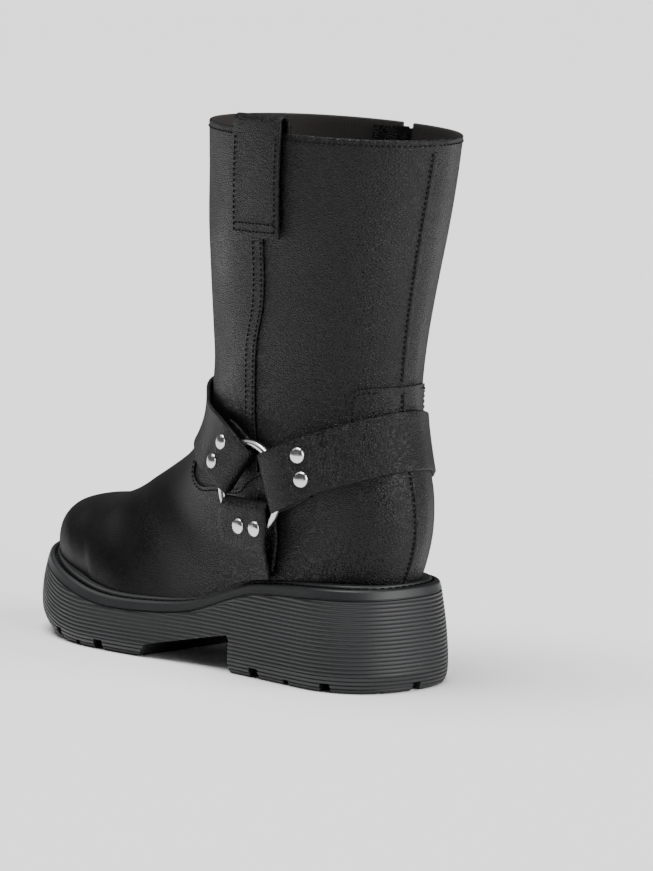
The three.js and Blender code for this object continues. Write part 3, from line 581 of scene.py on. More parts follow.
def strap_rings(strap, front_along, section):
    """Rings of a strap from the middle of the boot's front or back to the hidden end under the ring."""
    angle = math.radians(strap.turn)
    c, d = math.cos(angle), math.sin(angle)
    centre_s, centre_z = RING_ALONG + front_along * c, RING_UP + front_along * d
    first = fold_centre(strap)
    rings = []
    for i in range(23):
        turn = math.radians(84.0) * i / 24
        way = Vector((math.sin(turn), -c * math.cos(turn), d * math.cos(turn)))
        middle = None
        ring = []
        for across, up in [(0.0, 0.0), *section]:
            half = strap_width(strap, LAYER_END[1]) / 2 * across
            start = point(0, centre_s - half * d, centre_z + half * c)
            low = skin(STRAP_BASE).ray_cast(start, way)[0]
            high = skin(STRAP_BASE + STRAP).ray_cast(start, way)[0]
            if middle is None:
                middle = (HEEL_CENTRE - low.y / MM - RING_ALONG) * c + (low.z / MM - RING_UP) * d
                continue
            at = low.lerp(high, up + 1 - ease(*LAYER_END, middle))
            ring.append((at.x / MM, HEEL_CENTRE - at.y / MM, at.z / MM))
        if middle < LAYER_END[0] + 2:
            break
        rings.append(ring)
    rings += side_rings(strap, [LAYER_END[0] - i * 2.0 for i in range(14)], section, True)
    rings += bend_rings(strap, section)
    return rings + side_rings(strap, [first + i * 2.5 for i in range(1, 9)], section, False)


def side_rings(strap, distances, section, outside):
    """Rings of the leg that lies outside the ring's wire, or of the one that runs back under it."""
    fold = fold_centre(strap)

    def at(distance, across, up):
        s, z = bent(strap, distance, strap_width(strap, distance) / 2 * across)
        if outside:
            raised = RING_OUT + RING_WIRE / 2 + CLEAR + up * STRAP
            return mix(raised, on_side(s, z, (1 + up) * STRAP), ease(*COME_DOWN, distance)), s, z
        tucked = RING_OUT - RING_WIRE / 2 - CLEAR - up * STRAP
        return mix(tucked, on_side(s, z, (1 - up) * STRAP), ease(fold, fold + TUCK, distance)), s, z

    return swept([d for d in distances if d > fold or not outside], section, at)


def bend_rings(strap, section, steps=10):
    """Rings of the bend round the ring's wire."""

    def at(turn, across, up):
        radius = RING_WIRE / 2 + CLEAR + up * STRAP
        distance = fold_centre(strap) - radius * math.cos(turn)
        s, z = bent(strap, distance, strap_width(strap, distance) / 2 * across)
        return RING_OUT + radius * math.sin(turn), s, z

    return swept([math.pi * (0.5 - i / steps) for i in range(steps + 1)], section, at)


def mirrored(rings):
    return [[(-x, s, z) for x, s, z in ring] for ring in rings]


def strap_solid(name, front_along):
    half = strap_rings(STRAPS[name], front_along, rounded_section(STRAP_WIDTH, STRAP))
    return lattice(list(reversed(mirrored(half[1:]))) + half)


def stirrup_solid(side):
    """Stirrup strap: it lies double from the ring down to the welt."""
    strap = STRAPS["stirrup"]
    section = rounded_section(STRAP_WIDTH, STRAP)
    low = RING_UP - sole_top(RING_ALONG) - WELT_HEIGHT - 3.0
    rings = side_rings(strap, [low + 1, *[low - i * 2.0 for i in range(20)]], section, True)
    rings[0] = [(x, s, sole_top(s) + WELT_HEIGHT + 0.6) for x, s, z in rings[0]]
    rings += bend_rings(strap, section)
    rings += side_rings(strap, [fold_centre(strap) + i * 2.5 for i in range(1, 13)], section, False)
    return lattice(rings if side == OUTER else mirrored(rings))


def strip_solid():
    """Raised strip down the outer side, from the collar to the harness."""
    low, high = STRIP_END, COLLAR - 1.5

    def at(z, across, up):
        s = side_line(z) + across * STRIP_WIDTH / 2
        return mix(side_x(SUNK, s, z), side_x(SUNK + OVERLAY, s, z), up), s, z

    heights = [low + i / 40 * (high - low) for i in range(41)]
    return lattice(swept(heights, rounded_section(STRIP_WIDTH, OVERLAY, 6), at))


def loop_solid():
    """Pull loop: its outer leg, its arch over the collar and its inner leg."""
    section = rounded_section(LOOP_WIDTH, LOOP_THICKNESS, 12)
    inner_low = -LEATHER - CLEAR
    spring = COLLAR + LOOP_RISE

    def leg(low, way):
        def at(z, across, up):
            s = side_line(min(z, COLLAR)) + across * LOOP_WIDTH / 2
            level = min(z, COLLAR - 1)
            return mix(side_x(low, s, level), side_x(low + way * LOOP_THICKNESS, s, level), up), s, z

        return at

    def arch(turn, across, up):
        s = side_line(COLLAR) + across * LOOP_WIDTH / 2
        out, within = side_x(STRAP_BASE, s, COLLAR - 1), side_x(inner_low, s, COLLAR - 1)
        radius = (out - within) / 2 + up * LOOP_THICKNESS
        return (out + within) / 2 + radius * math.cos(turn), s, spring + radius * math.sin(turn)

    rising = [COLLAR - LOOP_LEG + i / 20 * (LOOP_LEG + LOOP_RISE) for i in range(21)]
    falling = [spring - i / 14 * (LOOP_INNER_LEG + LOOP_RISE) for i in range(15)]
    rings = swept(rising, section, leg(STRAP_BASE, OUTER))
    rings += swept([math.pi * i / 12 for i in range(1, 12)], section, arch)
    return lattice(rings + swept(falling, section, leg(inner_low, INNER)))


# Stitches


def stitch_row(made, line, outward, pitch, length, thickness):
    """Row of stitches along a line of points in millimetres, each a small bead of thread."""
    places = [point(*p) for p in line]
    distance = pitch / 2 * MM
    walked = 0.0
    for a, b in zip(places, places[1:]):
        step = (b - a).length
        while walked + step > distance and step > 0:
            t = (distance - walked) / step
            at = a.lerp(b, t)
            along = (b - a).normalized()
            out = outward(at)
            out = (out - along * out.dot(along)).normalized()
            turn = Matrix((along, out.cross(along), out)).transposed().to_4x4()
            size = Matrix.Diagonal((length / 2 * MM, thickness / 2 * MM, thickness / 2 * MM, 1))
            bmesh.ops.create_icosphere(
                made, subdivisions=1, radius=1.0, matrix=Matrix.Translation(at) @ turn @ size, calc_uvs=False
            )
            distance += pitch * MM
        walked += step


def skin_outward(grow):
    return lambda at: skin(grow).find_nearest(at)[1]


def side_path(grow, line, side=OUTER):
    """Line on the grown last from places seen from the side, where the side can be seen."""
    found = []
    for s, z in line:
        x = side_x(grow, s, z, side)
        if x is not None:
            found.append((x, s, z))
    return found


# Columns: growth of the last, first and last place in the table of sections.
BACK_SEAM = ((0.0, 0.35, 4.9), (OVERLAY, 5.2, 10.2))


def back_line(grow, first, last, shift, steps=60):
    """Line down the middle of the back, a little to one side."""
    line = []
    for i in range(steps + 1):
        ring = last_ring(mix(first, last, i / steps), grow)
        back = ring[len(ring) // 2]
        line.append((shift, back[1], back[2]))
    return line


def seam_bead(grow, first, last, half_width=1.3, height=0.55):
    """Rounded ridge where the two halves of the back meet."""
    line = back_line(grow, first, last, 0.0)
    rings = []
    for (_, s0, z0), (_, s, z), (_, s1, z1) in zip([line[0], *line], line, [*line[1:], line[-1]]):
        length = math.hypot(s1 - s0, z1 - z0)
        out_s, out_z = (z1 - z0) / length, -(s1 - s0) / length
        if out_s > 0:
            out_s, out_z = -out_s, -out_z
        ring = []
        for i in range(10):
            turn = math.tau * i / 10
            rise = height * math.sin(turn)
            ring.append((half_width * math.cos(turn) - 0.4, s + out_s * rise, z + out_z * rise))
        rings.append(ring)
    return lattice(rings)


# Materials


def linear(colour):
    """Linear colour from an sRGB hex value."""
    values = [int(colour[i : i + 2], 16) / 255 for i in (1, 3, 5)]
    return (*(v / 12.92 if v <= 0.04045 else ((v + 0.055) / 1.055) ** 2.4 for v in values), 1.0)


def add_node(tree, kind, inputs, **settings):
    """Adds a node with its settings, and sets or links its inputs. A node links its first output."""
    made = tree.nodes.new("ShaderNode" + kind)
    for name, value in settings.items():
        setattr(made, name, value)
    for name, value in inputs.items():
        if isinstance(value, bpy.types.Node):
            value = value.outputs[0]
        if isinstance(value, bpy.types.NodeSocket):
            tree.links.new(value, made.inputs[name])
        else:
            made.inputs[name].default_value = value
    return made


def new_material(name):
    material = bpy.data.materials.new(name)
    material.use_nodes = True
    tree = material.node_tree
    tree.nodes.clear()
    return material, tree, add_node(tree, "TexCoord", {}).outputs["Object"]


def shade(tree, **inputs):
    """Ends a material with one surface shader."""
    names = {name.replace("_", " "): value for name, value in inputs.items()}
    add_node(tree, "OutputMaterial", {"Surface": add_node(tree, "BsdfPrincipled", names)})


def per_metre(size_mm):
    """Texture scale that makes one cell as wide as a real size."""
    return 1 / (size_mm * MM)


# Share of a scale at which one band of a wave texture has a cell's width.
WAVE = math.pi / 10


def leather(name, colour, grain_mm, depth_mm, rough, smooth=None):
    """Full-grain leather: rounded pebbles between fine creases, with a soft sheen on their tops. The creases are
    darkened with painted shade.
    It may grow smoother towards the toe, between two places along the sole. Its grazing edges are
    duller, as the pebbles shade one another there."""
    material, tree, place = new_material(name)
    sway = add_node(tree, "TexNoise", {"Vector": place, "Scale": per_metre(6.0), "Detail": 2.0})
    push = add_node(tree, "VectorMath", {0: sway.outputs["Color"], "Scale": 0.9 * MM}, operation="SCALE")
    moved = add_node(tree, "VectorMath", {0: place, 1: push}, operation="ADD")
    wide = add_node(tree, "Mapping", {"Vector": moved, "Scale": (1.0, 1.0, 1.5)})
    size = {"Vector": wide, "Scale": per_metre(grain_mm), "Randomness": 0.9}
    cells = add_node(tree, "TexVoronoi", size, feature="DISTANCE_TO_EDGE")
    rounding = {"Value": cells, "From Min": 0.0, "From Max": 0.4}
    pebble = add_node(tree, "MapRange", rounding, interpolation_type="SMOOTHSTEP")
    fine = add_node(tree, "TexNoise", {"Vector": place, "Scale": per_metre(grain_mm / 3), "Detail": 3.0})
    height = add_node(tree, "Math", {0: fine, 1: 0.15, 2: pebble}, operation="MULTIPLY_ADD")
    strength = 1.0
    if smooth:
        first, last = ((HEEL_CENTRE - along) * MM for along in reversed(smooth))
        parts = add_node(tree, "SeparateXYZ", {"Vector": place})
        reach = {"Value": parts.outputs["Y"], "From Min": first, "From Max": last, "To Min": 0.22}
        strength = add_node(tree, "MapRange", reach, interpolation_type="SMOOTHSTEP")
    bump = add_node(tree, "Bump", {"Height": height, "Distance": depth_mm * MM, "Strength": strength})
    # Painted shade: the creases between the pebbles are darkened to #040404, and the pebble tops keep the
    # leather's colour.
    painted_shade_tint = add_node(tree, "Mix", {6: linear("#040404"), 7: colour, 0: pebble}, data_type="RGBA")
    patches = add_node(tree, "TexNoise", {"Vector": place, "Scale": per_metre(35.0), "Detail": 3.0})
    spread = {"From Min": 0.3, "From Max": 0.7, "To Min": rough - 0.05, "To Max": rough + 0.07}
    sheen = add_node(tree, "MapRange", {"Value": patches, **spread})
    facing = add_node(tree, "LayerWeight", {"Blend": 0.5}).outputs["Facing"]
    haze = add_node(tree, "MapRange", {"Value": facing, "From Min": 0.55, "To Max": 0.45})
    dull = add_node(tree, "Math", {0: sheen, 1: haze}, operation="ADD")
    shade(
        tree, Base_Color=painted_shade_tint.outputs[2], Roughness=dull, IOR=1.5, Specular_IOR_Level=0.25, Normal=bump
    )
    return material


def rubber(name, colour, rough):
    """Moulded rubber: an even satin black with a faint stipple from the mould."""
    material, tree, place = new_material(name)
    stipple = add_node(tree, "TexNoise", {"Vector": place, "Scale": per_metre(0.5), "Detail": 4.0})
    clouds = add_node(tree, "TexNoise", {"Vector": place, "Scale": per_metre(40.0), "Detail": 4.0})
    bump = add_node(tree, "Bump", {"Height": stipple, "Distance": 0.03 * MM, "Strength": 0.6})
    spread = {"From Min": 0.3, "From Max": 0.7, "To Min": rough - 0.04, "To Max": rough + 0.06}
    wear = add_node(tree, "MapRange", {"Value": clouds, **spread})
    shade(tree, Base_Color=colour, Roughness=wear, IOR=1.52, Normal=bump)
    return material


def nickel(name, colour, rough):
    """Polished nickel plate: mirror bright with a haze of polishing."""
    material, tree, place = new_material(name)
    haze = add_node(tree, "TexNoise", {"Vector": place, "Scale": per_metre(3.0), "Detail": 3.0})
    spread = {"From Min": 0.3, "From Max": 0.7, "To Min": rough * 0.7, "To Max": rough * 1.4}
    dull = add_node(tree, "MapRange", {"Value": haze, **spread})
    shade(tree, Base_Color=colour, Metallic=1.0, Roughness=dull)
    return material


def cloth(name, colour, thread_mm, rough):
    """Plain woven cloth: crossing threads, matt, each a little rounded, with painted shade darkening the hollows
    between them.
    """
    material, tree, place = new_material(name)
    waves = []
    for turn in (0.0, math.pi / 2):
        turned = add_node(tree, "Mapping", {"Vector": place, "Rotation": (turn, 0.0, turn)})
        bands = {"Vector": turned, "Scale": per_metre(thread_mm) * WAVE, "Distortion": 0.4}
        waves.append(add_node(tree, "TexWave", bands).outputs["Fac"])
    weave = add_node(tree, "Math", dict(enumerate(waves)), operation="MAXIMUM")
    bump = add_node(tree, "Bump", {"Height": weave, "Distance": 0.12 * MM, "Strength": 0.8})
    # Painted shade: the hollows of the weave are darkened to half the cloth's colour.
    weave_shade_colour = (*(0.5 * v for v in colour[:3]), 1.0)
    painted_shade_tint = add_node(tree, "Mix", {6: weave_shade_colour, 7: colour, 0: weave}, data_type="RGBA")
    shade(tree, Base_Color=painted_shade_tint.outputs[2], Roughness=rough, Normal=bump)
    return material


def thread(name, colour):
    """Waxed polyester thread: black, half matt, with a fine twist."""
    material, tree, place = new_material(name)
    bands = {"Vector": place, "Scale": per_metre(0.5) * WAVE, "Distortion": 1.0}
    twist = add_node(tree, "TexWave", bands).outputs["Fac"]
    bump = add_node(tree, "Bump", {"Height": twist, "Distance": 0.05 * MM})
    shade(tree, Base_Color=colour, Roughness=0.7, Specular_IOR_Level=0.12, Normal=bump)
    return material


def backdrop_paper(name, colour):
    """Matt backdrop paper."""
    material, tree, place = new_material(name)
    tooth = add_node(tree, "TexNoise", {"Vector": place, "Scale": per_metre(2.0)})
    bump = add_node(tree, "Bump", {"Height": tooth, "Distance": 0.02 * MM})
    shade(tree, Base_Color=colour, Roughness=0.95, Normal=bump)
    return material


FINISHES = {}


def finish(name):
    """Material by its own name, made at first use from the panel's colours."""
    look = bpy.context.scene.boot_look
    grain = look.grain / MM
    makers = {
        "pebbled_leather": (leather, look.leather, grain, 0.26, 0.37),
        "vamp_leather": (leather, look.leather, grain, 0.22, 0.35, (100.0, 160.0)),
        "strap_leather": (leather, look.leather, grain, 0.28, 0.37),
        "moulded_rubber": (rubber, look.rubber, 0.48),
        "nickel_plate": (nickel, look.metal, 0.2),
        "textile_lining": (cloth, look.lining, 0.7, 0.9),
        "zip_tape_weave": (cloth, linear("#101012"), 0.5, 0.8),
        "black_thread": (thread, linear("#050506")),
        "backdrop_paper": (backdrop_paper, look.backdrop),
    }
    if name not in FINISHES:
        make, *values = makers[name]
        FINISHES[name] = make(name, *values)
    return FINISHES[name]


# Columns: name, direction it comes from, spread in degrees, strength.
LIGHTS = (
    ("overhead", (0.15, -0.1, 1.0), 40.0, 4.2),
    ("left", (0.5, -0.8, 0.9), 40.0, 0.3),
    ("right", (-0.22, 0.95, 0.4), 56.0, 4.0),
)

# What a user may change


def colour_of(name, description, value):
    return bpy.props.FloatVectorProperty(
        name=name, description=description, default=linear(value), size=4, min=0, max=1, subtype="COLOR"
    )


def size_of(name, description, value, least):
    return bpy.props.FloatProperty(
        name=name, description=description, default=value * MM, min=least * MM, unit="LENGTH", precision=5
    )


class BootLook(bpy.types.PropertyGroup):
    leather: colour_of("Leather", "Colour of upper and straps", "#0c0c0d")
    rubber: colour_of("Rubber", "Colour of outsole and welt", "#121315")
    metal: colour_of("Metal", "Colour of rings, rivets and zip", "#d6d6d8")
    lining: colour_of("Lining", "Colour of lining and insole", "#2c2826")
    backdrop: colour_of("Backdrop", "Colour of the floor", "#fbfbfb")
    grain: size_of("Grain", "Width of a pebble of the leather", 1.5, 0.3)
    rib_pitch: size_of("Rib pitch", "From rib to rib on the sole's side", 2.0, 1.0)
    rib_depth: size_of("Rib depth", "Depth between the ribs", 0.45, 0.1)
    stitch_pitch: size_of("Stitch pitch", "From stitch to stitch", 2.7, 1.0)


class BOOT_OT_sole(bpy.types.Operator):
    """Ribbed outsole with its arch, heel and notches"""

    bl_idname = "boot.sole"
    bl_label = "Outsole"

    def execute(self, context):
        look = context.scene.boot_look
        sole = lattice(outsole_rings(look.rib_pitch / MM, look.rib_depth / MM))
        arch = [
            (HEEL_BLOCK, -1.0),
            (HEEL_BLOCK - 1, ARCH_HEIGHT - 2),
            (HEEL_BLOCK + 1, ARCH_HEIGHT),
            (TREAD_START - 9, ARCH_FRONT_HEIGHT),
            (TREAD_START - 7, ARCH_FRONT_HEIGHT - 0.6),
            (TREAD_START, -1.0),
        ]
        tools = prism(arch, -SHAFT_WIDTH, SHAFT_WIDTH)
        for side in (OUTER, INNER):
            for along, out, turn, width, height, depth in NOTCHES:
                s = along * SOLE_LENGTH
                middle = (sole_edge(s, OUTER) + sole_edge(s, INNER)) / 2
                x = mix(middle, sole_edge(s, side), out)
                self.notch(tools, (width, depth, height), (x, s, tread_lift(s)), side * (90 - turn))
        self.notch(tools, (6.0, 12.0, 4.2), (0.0, 0.0, 0.0), 0)
        piece(
            combined(sole, tools, "DIFFERENCE"),
            "ribbed_outsole",
            [finish("moulded_rubber")],
            stands_for=["outsole"],
            crease=50,
        )
        return {"FINISHED"}

    def notch(self, tools, size, place, turn):
        """Adds a notch that narrows upwards."""
        width, depth, height = (v * MM for v in size)
        box = Matrix.Translation(point(*place)) @ Matrix.Rotation(-math.radians(turn), 4, "Z")
        box = box @ Matrix.Diagonal((width, depth, 2 * height, 1))
        made = bmesh.ops.create_cube(tools, size=1.0, matrix=box)["verts"]
        top = [v for v in made if v.co.z > place[2] * MM]
        middle = sum((v.co for v in top), Vector()) / len(top)
        for v in top:
            v.co = middle + (v.co - middle) * 0.82 + Vector((0, 0, v.co.z - middle.z)) * 0.18


class BOOT_OT_welt(bpy.types.Operator):
    """Welt between the sole's lip and the upper, with the stitches in its groove"""

    bl_idname = "boot.welt"
    bl_label = "Welt"

    def execute(self, context):
        rings = []
        for inset, rise in smooth_outline(WELT, 2):
            rings.append(sole_ring(lambda s: inset, lambda s: sole_top(s) + rise))
        welt = combined(lattice(rings, closed_along=True), last_solid(OVERLAY + CLEAR), "DIFFERENCE")
        piece(welt, "stitched_welt", [finish("moulded_rubber")], stands_for=["welt"], crease=50)
        rows = bmesh.new()
        line = sole_ring(lambda s: 7.75, lambda s: sole_top(s) + 1.75)
        stitch_row(rows, [*line, line[0]], lambda at: Vector((0, 0, 1)), 4.2, 3.2, 1.0)
        piece(rows, "welt_stitches", [finish("black_thread")])
        return {"FINISHED"}


class BOOT_OT_upper(bpy.types.Operator):
    """Leather shell of the upper with its rounded collar and lining"""

    bl_idname = "boot.upper"
    bl_label = "Upper"

    def execute(self, context):
        rings = [last_ring(place, 0.0) for place in reversed(PLACES)]
        for i in range(1, 8):
            turn = math.pi * i / 8
            radius = LEATHER / 2
            rings.append(last_ring(0, -radius + radius * math.cos(turn), lift=0.8 * radius * math.sin(turn)))
        rings += [last_ring(place, -LEATHER) for place in PLACES]
        shell = combined(lattice(rings, closed_along=True), below_seat(CLEAR), "DIFFERENCE")
        heights = [ZIP_END + i / 24 * (COLLAR + 12 - ZIP_END) for i in range(25)]
        front = [(side_line(z) + ZIP_SLOT / 2, z) for z in heights]
        back = [(side_line(z) - ZIP_SLOT / 2, z) for z in reversed(heights)]
        shell = combined(shell, prism(front + back, -SHAFT_WIDTH, 0.0), "DIFFERENCE")
        lining = skin(-LEATHER)

        def inside(face):
            return 1 if lining.find_nearest(face.calc_center_median())[3] < 0.35 * MM else 0

        materials = [finish("pebbled_leather"), finish("textile_lining")]
        piece(shell, "leather_upper", materials, stands_for=["upper"], crease=40, slot_of=inside)
        return {"FINISHED"}


class BOOT_OT_overlays(bpy.types.Operator):
    """Raised vamp and counter, and the strip down the outer side"""

    bl_idname = "boot.overlays"
    bl_label = "Overlays"

    def execute(self, context):
        rings = [last_ring(place, OVERLAY) for place in reversed(PLACES)]
        rings += [last_ring(place, SUNK) for place in PLACES]
        edge = [(s * SOLE_LENGTH, HEEL_HEIGHT + z * SHAFT_HEIGHT) for s, z in smooth_outline(OVERLAY_EDGE, 3)]
        far = 1.2 * SOLE_LENGTH
        outline = [*edge, (edge[-1][0], -60.0), (far, -60.0), (far, edge[0][1])]
        cover = combined(
            lattice(rings, closed_along=True), prism(outline, -SHAFT_WIDTH, SHAFT_WIDTH), "INTERSECT"
        )
        cover = combined(cover, below_seat(CLEAR), "DIFFERENCE")
        piece(cover, "vamp_and_counter", [finish("vamp_leather")], crease=40)
        piece(strip_solid(), "side_strip", [finish("pebbled_leather")])
        for word, row in zip(("upper", "lower"), BACK_SEAM):
            piece(seam_bead(*row), f"back_seam_{word}", [finish("strap_leather")])
        return {"FINISHED"}


class BOOT_OT_straps(bpy.types.Operator):
    """Straps of the harness, folded round the rings"""

    bl_idname = "boot.straps"
    bl_label = "Straps"

    def execute(self, context):
        look = [finish("strap_leather")]
        piece(strap_solid("heel", 42.0), "heel_harness_strap", look, stands_for=["heel_strap"])
        piece(strap_solid("instep", 24.0), "instep_harness_strap", look, stands_for=["instep_strap"])
        for side, word in ((OUTER, "lateral"), (INNER, "medial")):
            name = f"stirrup_harness_strap_{word}"
            piece(stirrup_solid(side), name, look, stands_for=[f"stirrup_strap_{word}"])
        return {"FINISHED"}


class BOOT_OT_rings(bpy.types.Operator):
    """Polished wire ring on each side"""

    bl_idname = "boot.rings"
    bl_label = "Rings"

    def execute(self, context):
        for side, word, body in ((OUTER, "lateral", "outer_ring"), (INNER, "medial", "inner_ring")):
            made = bmesh.new()
            centre = point(side * RING_OUT, RING_ALONG, RING_UP)
            wire = Matrix.Translation(centre + Vector((0, 0, RING_RADIUS * MM))) @ Matrix.Rotation(
                math.pi / 2, 4, "Y"
            ) @ Matrix.Rotation(math.pi / 2, 4, "X")
            bmesh.ops.create_circle(made, segments=20, radius=RING_WIRE / 2 * MM, matrix=wire)
            turned = made.verts[:] + made.edges[:]
            bmesh.ops.spin(
                made, geom=turned, cent=centre, axis=(1, 0, 0), angle=math.tau, steps=96, use_merge=True
            )
            bmesh.ops.remove_doubles(made, verts=made.verts, dist=1e-6)
            bmesh.ops.recalc_face_normals(made, faces=made.faces)
            piece(made, f"wire_ring_{word}", [finish("nickel_plate")], body, [f"ring_{word}"])
        return {"FINISHED"}


class BOOT_OT_rivets(bpy.types.Operator):
    """Domed rivets that hold the folded ends"""

    bl_idname = "boot.rivets"
    bl_label = "Rivets"

    def execute(self, context):
        owners = {
            "heel": "heel_harness_strap",
            "instep": "instep_harness_strap",
            "stirrup": "stirrup_harness_strap_",
        }
        for side, word in ((OUTER, "lateral"), (INNER, "medial")):
            for i, (strap, forward, up) in enumerate(RIVETS):
                owner = owners[strap] + (word if strap == "stirrup" else "")
                tree = BVHTree.FromObject(bpy.data.objects[owner], context.evaluated_depsgraph_get())
                s, z = RING_ALONG + forward * RING_RADIUS, RING_UP + up * RING_RADIUS
                at, out = self.seat_on(tree, s, z, side)
                name = f"{strap}_{word}_{i % 2 + 1}"
                self.rivet(at, out, f"domed_rivet_{name}", f"rivet_{name}")
        return {"FINISHED"}

    def seat_on(self, tree, s, z, side):
        """Place on the strap and its lean, from four points under the rivet's rim."""
        reach = RIVET_RADIUS * 0.8
        hits = []
        for ds, dz in ((reach, 0), (0, reach), (-reach, 0), (0, -reach)):
            start = point(side * 2 * SHAFT_WIDTH, s + ds, z + dz)
            hits.append(tree.ray_cast(start, Vector((-side, 0, 0)))[0])
        if None in hits:
            raise RuntimeError("a rivet stands past the edge of its strap")
        out = (hits[0] - hits[2]).cross(hits[1] - hits[3]).normalized()
        if out.x * side < 0:
            out = -out
        return sum(hits, Vector()) / 4, out

    def rivet(self, at, out, name, node):
        profile = [(RIVET_RADIUS, -0.5), (RIVET_RADIUS, 0.25), (RIVET_RADIUS * 0.96, 0.42)]
        for i in range(1, 9):
            turn = math.pi / 2 * i / 8
            reach, rise = RIVET_RADIUS * 0.93 * math.cos(turn), (RIVET_DOME - 1.1) * math.sin(turn)
            profile.append((reach, 0.42 + rise))
        made = bmesh.new()
        verts = [made.verts.new((r * MM, 0, h * MM)) for r, h in profile]
        edges = [made.edges.new(pair) for pair in zip(verts, verts[1:])]
        bmesh.ops.spin(
            made, geom=verts + edges, cent=(0, 0, 0), axis=(0, 0, 1), angle=math.tau, steps=32, use_merge=True
        )
        bmesh.ops.remove_doubles(made, verts=made.verts, dist=1e-7)
        bmesh.ops.holes_fill(made, edges=[e for e in made.edges if e.is_boundary], sides=0)
        bmesh.ops.recalc_face_normals(made, faces=made.faces)
        turn = Vector((0, 0, 1)).rotation_difference(out).to_matrix().to_4x4()
        bmesh.ops.transform(made, matrix=Matrix.Translation(at) @ turn, verts=made.verts)
        piece(made, name, [finish("nickel_plate")], stands_for=[node], crease=50)


class BOOT_OT_loop(bpy.types.Operator):
    """Pull loop over the collar"""

    bl_idname = "boot.loop"
    bl_label = "Pull loop"

    def execute(self, context):
        piece(loop_solid(), "leather_pull_loop", [finish("strap_leather")], stands_for=["pull_loop"])
        return {"FINISHED"}


class BOOT_OT_stitches(bpy.types.Operator):
    """Rows of stitches along collar, seams, overlays and pull loop"""

    bl_idname = "boot.stitches"
    bl_label = "Stitches"

    def execute(self, context):
        pitch = context.scene.boot_look.stitch_pitch / MM
        size = (pitch, pitch * 0.72, 0.9)
        self.collar(size)
        self.side_seam(size)
        self.back_seam(size)
        self.overlay_edge(size)
        self.pull_loop(size)
        return {"FINISHED"}

    def row(self, name, lines, size):
        made = bmesh.new()
        for line, outward in lines:
            stitch_row(made, line, outward, *size)
        piece(made, name, [finish("black_thread")])

    def collar(self, size):
        ring = last_ring(0.16, 0.1, 240)
        kept = [p for p in ring if abs(p[1] - side_line(p[2])) > ZIP_SLOT / 2 + 1 or p[0] > 0]
        start = next(i for i, p in enumerate(kept) if p[0] < 0 and p[1] < side_line(p[2]))
        self.row("collar_stitches", [(kept[start:] + kept[:start], skin_outward(0.0))], size)

    def side_seam(self, size):
        heights = [104.0 + i / 60 * (COLLAR - 4 - 104.0) for i in range(61)]
        lines = []
        for shift in (-2.9, 2.9):
            path = side_path(OVERLAY + 0.1, [(side_line(z) + shift, z) for z in heights])
            lines.append((path, skin_outward(OVERLAY)))
        for shift in (-7.0, 7.0):
            path = side_path(0.1, [(side_line(z) + shift, z) for z in heights if z > ZIP_END + 2], INNER)
            lines.append((path, skin_outward(0.0)))
        self.row("side_seam_stitches", lines, size)

    def back_seam(self, size):
        lines = []
        for grow, first, last in BACK_SEAM:
            lines.append((back_line(grow + 0.1, first, last, 1.6), skin_outward(grow)))
        self.row("back_seam_stitches", lines, size)

    def overlay_edge(self, size):
        edge = [(s * SOLE_LENGTH, HEEL_HEIGHT + z * SHAFT_HEIGHT) for s, z in smooth_outline(OVERLAY_EDGE, 4)]
        inset = []
        for (s0, z0), (s1, z1) in zip(edge, edge[2:]):
            length = math.hypot(s1 - s0, z1 - z0)
            s = (s0 + s1) / 2 + 2.0 * (z0 - z1) / length
            inset.append((s, (z0 + z1) / 2 - 2.0 * (s0 - s1) / length))
        lines = []
        for side in (OUTER, INNER):
            lines.append((side_path(OVERLAY + 0.1, inset, side), skin_outward(OVERLAY)))
        self.row("overlay_stitches", lines, size)

    def pull_loop(self, size):
        top, low = COLLAR - 2.0, COLLAR - LOOP_LEG
        grow = STRAP_BASE + LOOP_THICKNESS + 0.08
        edge = LOOP_WIDTH / 2 - 2.3
        lines = []
        heights = [low + 2.3 + i / 30 * (top - low - 2.3) for i in range(31)]
        for shift in (-edge, edge):
            lines.append([(side_line(z) + shift, z) for z in heights])
        for z in (low + 3.0, low + 7.0):
            lines.append([(side_line(z) - edge + i / 20 * 2 * edge, z) for i in range(21)])
        rows = [(side_path(grow, line), skin_outward(grow)) for line in lines]
        self.row("pull_loop_stitches", rows, size)


class BOOT_OT_zip(bpy.types.Operator):
    """Teeth of the inside zip, and the finish of its tape, slider, pull tab and guard"""

    bl_idname = "boot.zip"
    bl_label = "Zip"

    def execute(self, context):
        made = bmesh.new()
        low, high = ZIP_END + 4, COLLAR - 16
        count = int((high - low) / 1.6)
        for i in range(count):
            z = mix(low, high, i / (count - 1))
            for way in (-1, 1):
                s = side_line(z) + way * 0.75
                x = side_x(0.2, s, z, INNER)
                at = point(x, s, z + 0.4 * way)
                size = Matrix.Diagonal((1.3 * MM, 2.6 * MM, 0.75 * MM, 1))
                bmesh.ops.create_cube(made, size=1.0, matrix=Matrix.Translation(at) @ size)
        edges = made.edges[:]
        bmesh.ops.bevel(made, geom=edges, offset=0.12 * MM, affect="EDGES", segments=1, profile=0.5, material=-1)
        piece(made, "zip_teeth_rows", [finish("nickel_plate")], stands_for=["zip_teeth"])
        finishes = {
            "zip_tape": "zip_tape_weave",
            "zip_slider": "nickel_plate",
            "zip_pull": "nickel_plate",
            "zip_guard": "strap_leather",
            "insole": "textile_lining",
        }
        for name, look in finishes.items():
            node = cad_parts[name]
            node.data.materials.clear()
            node.data.materials.append(finish(look))
            if look == "nickel_plate":
                rounding = node.modifiers.new("rounded edges", "BEVEL")
                rounding.width = 0.3 * MM
                rounding.segments = 3
                rounding.limit_method = "ANGLE"
        return {"FINISHED"}


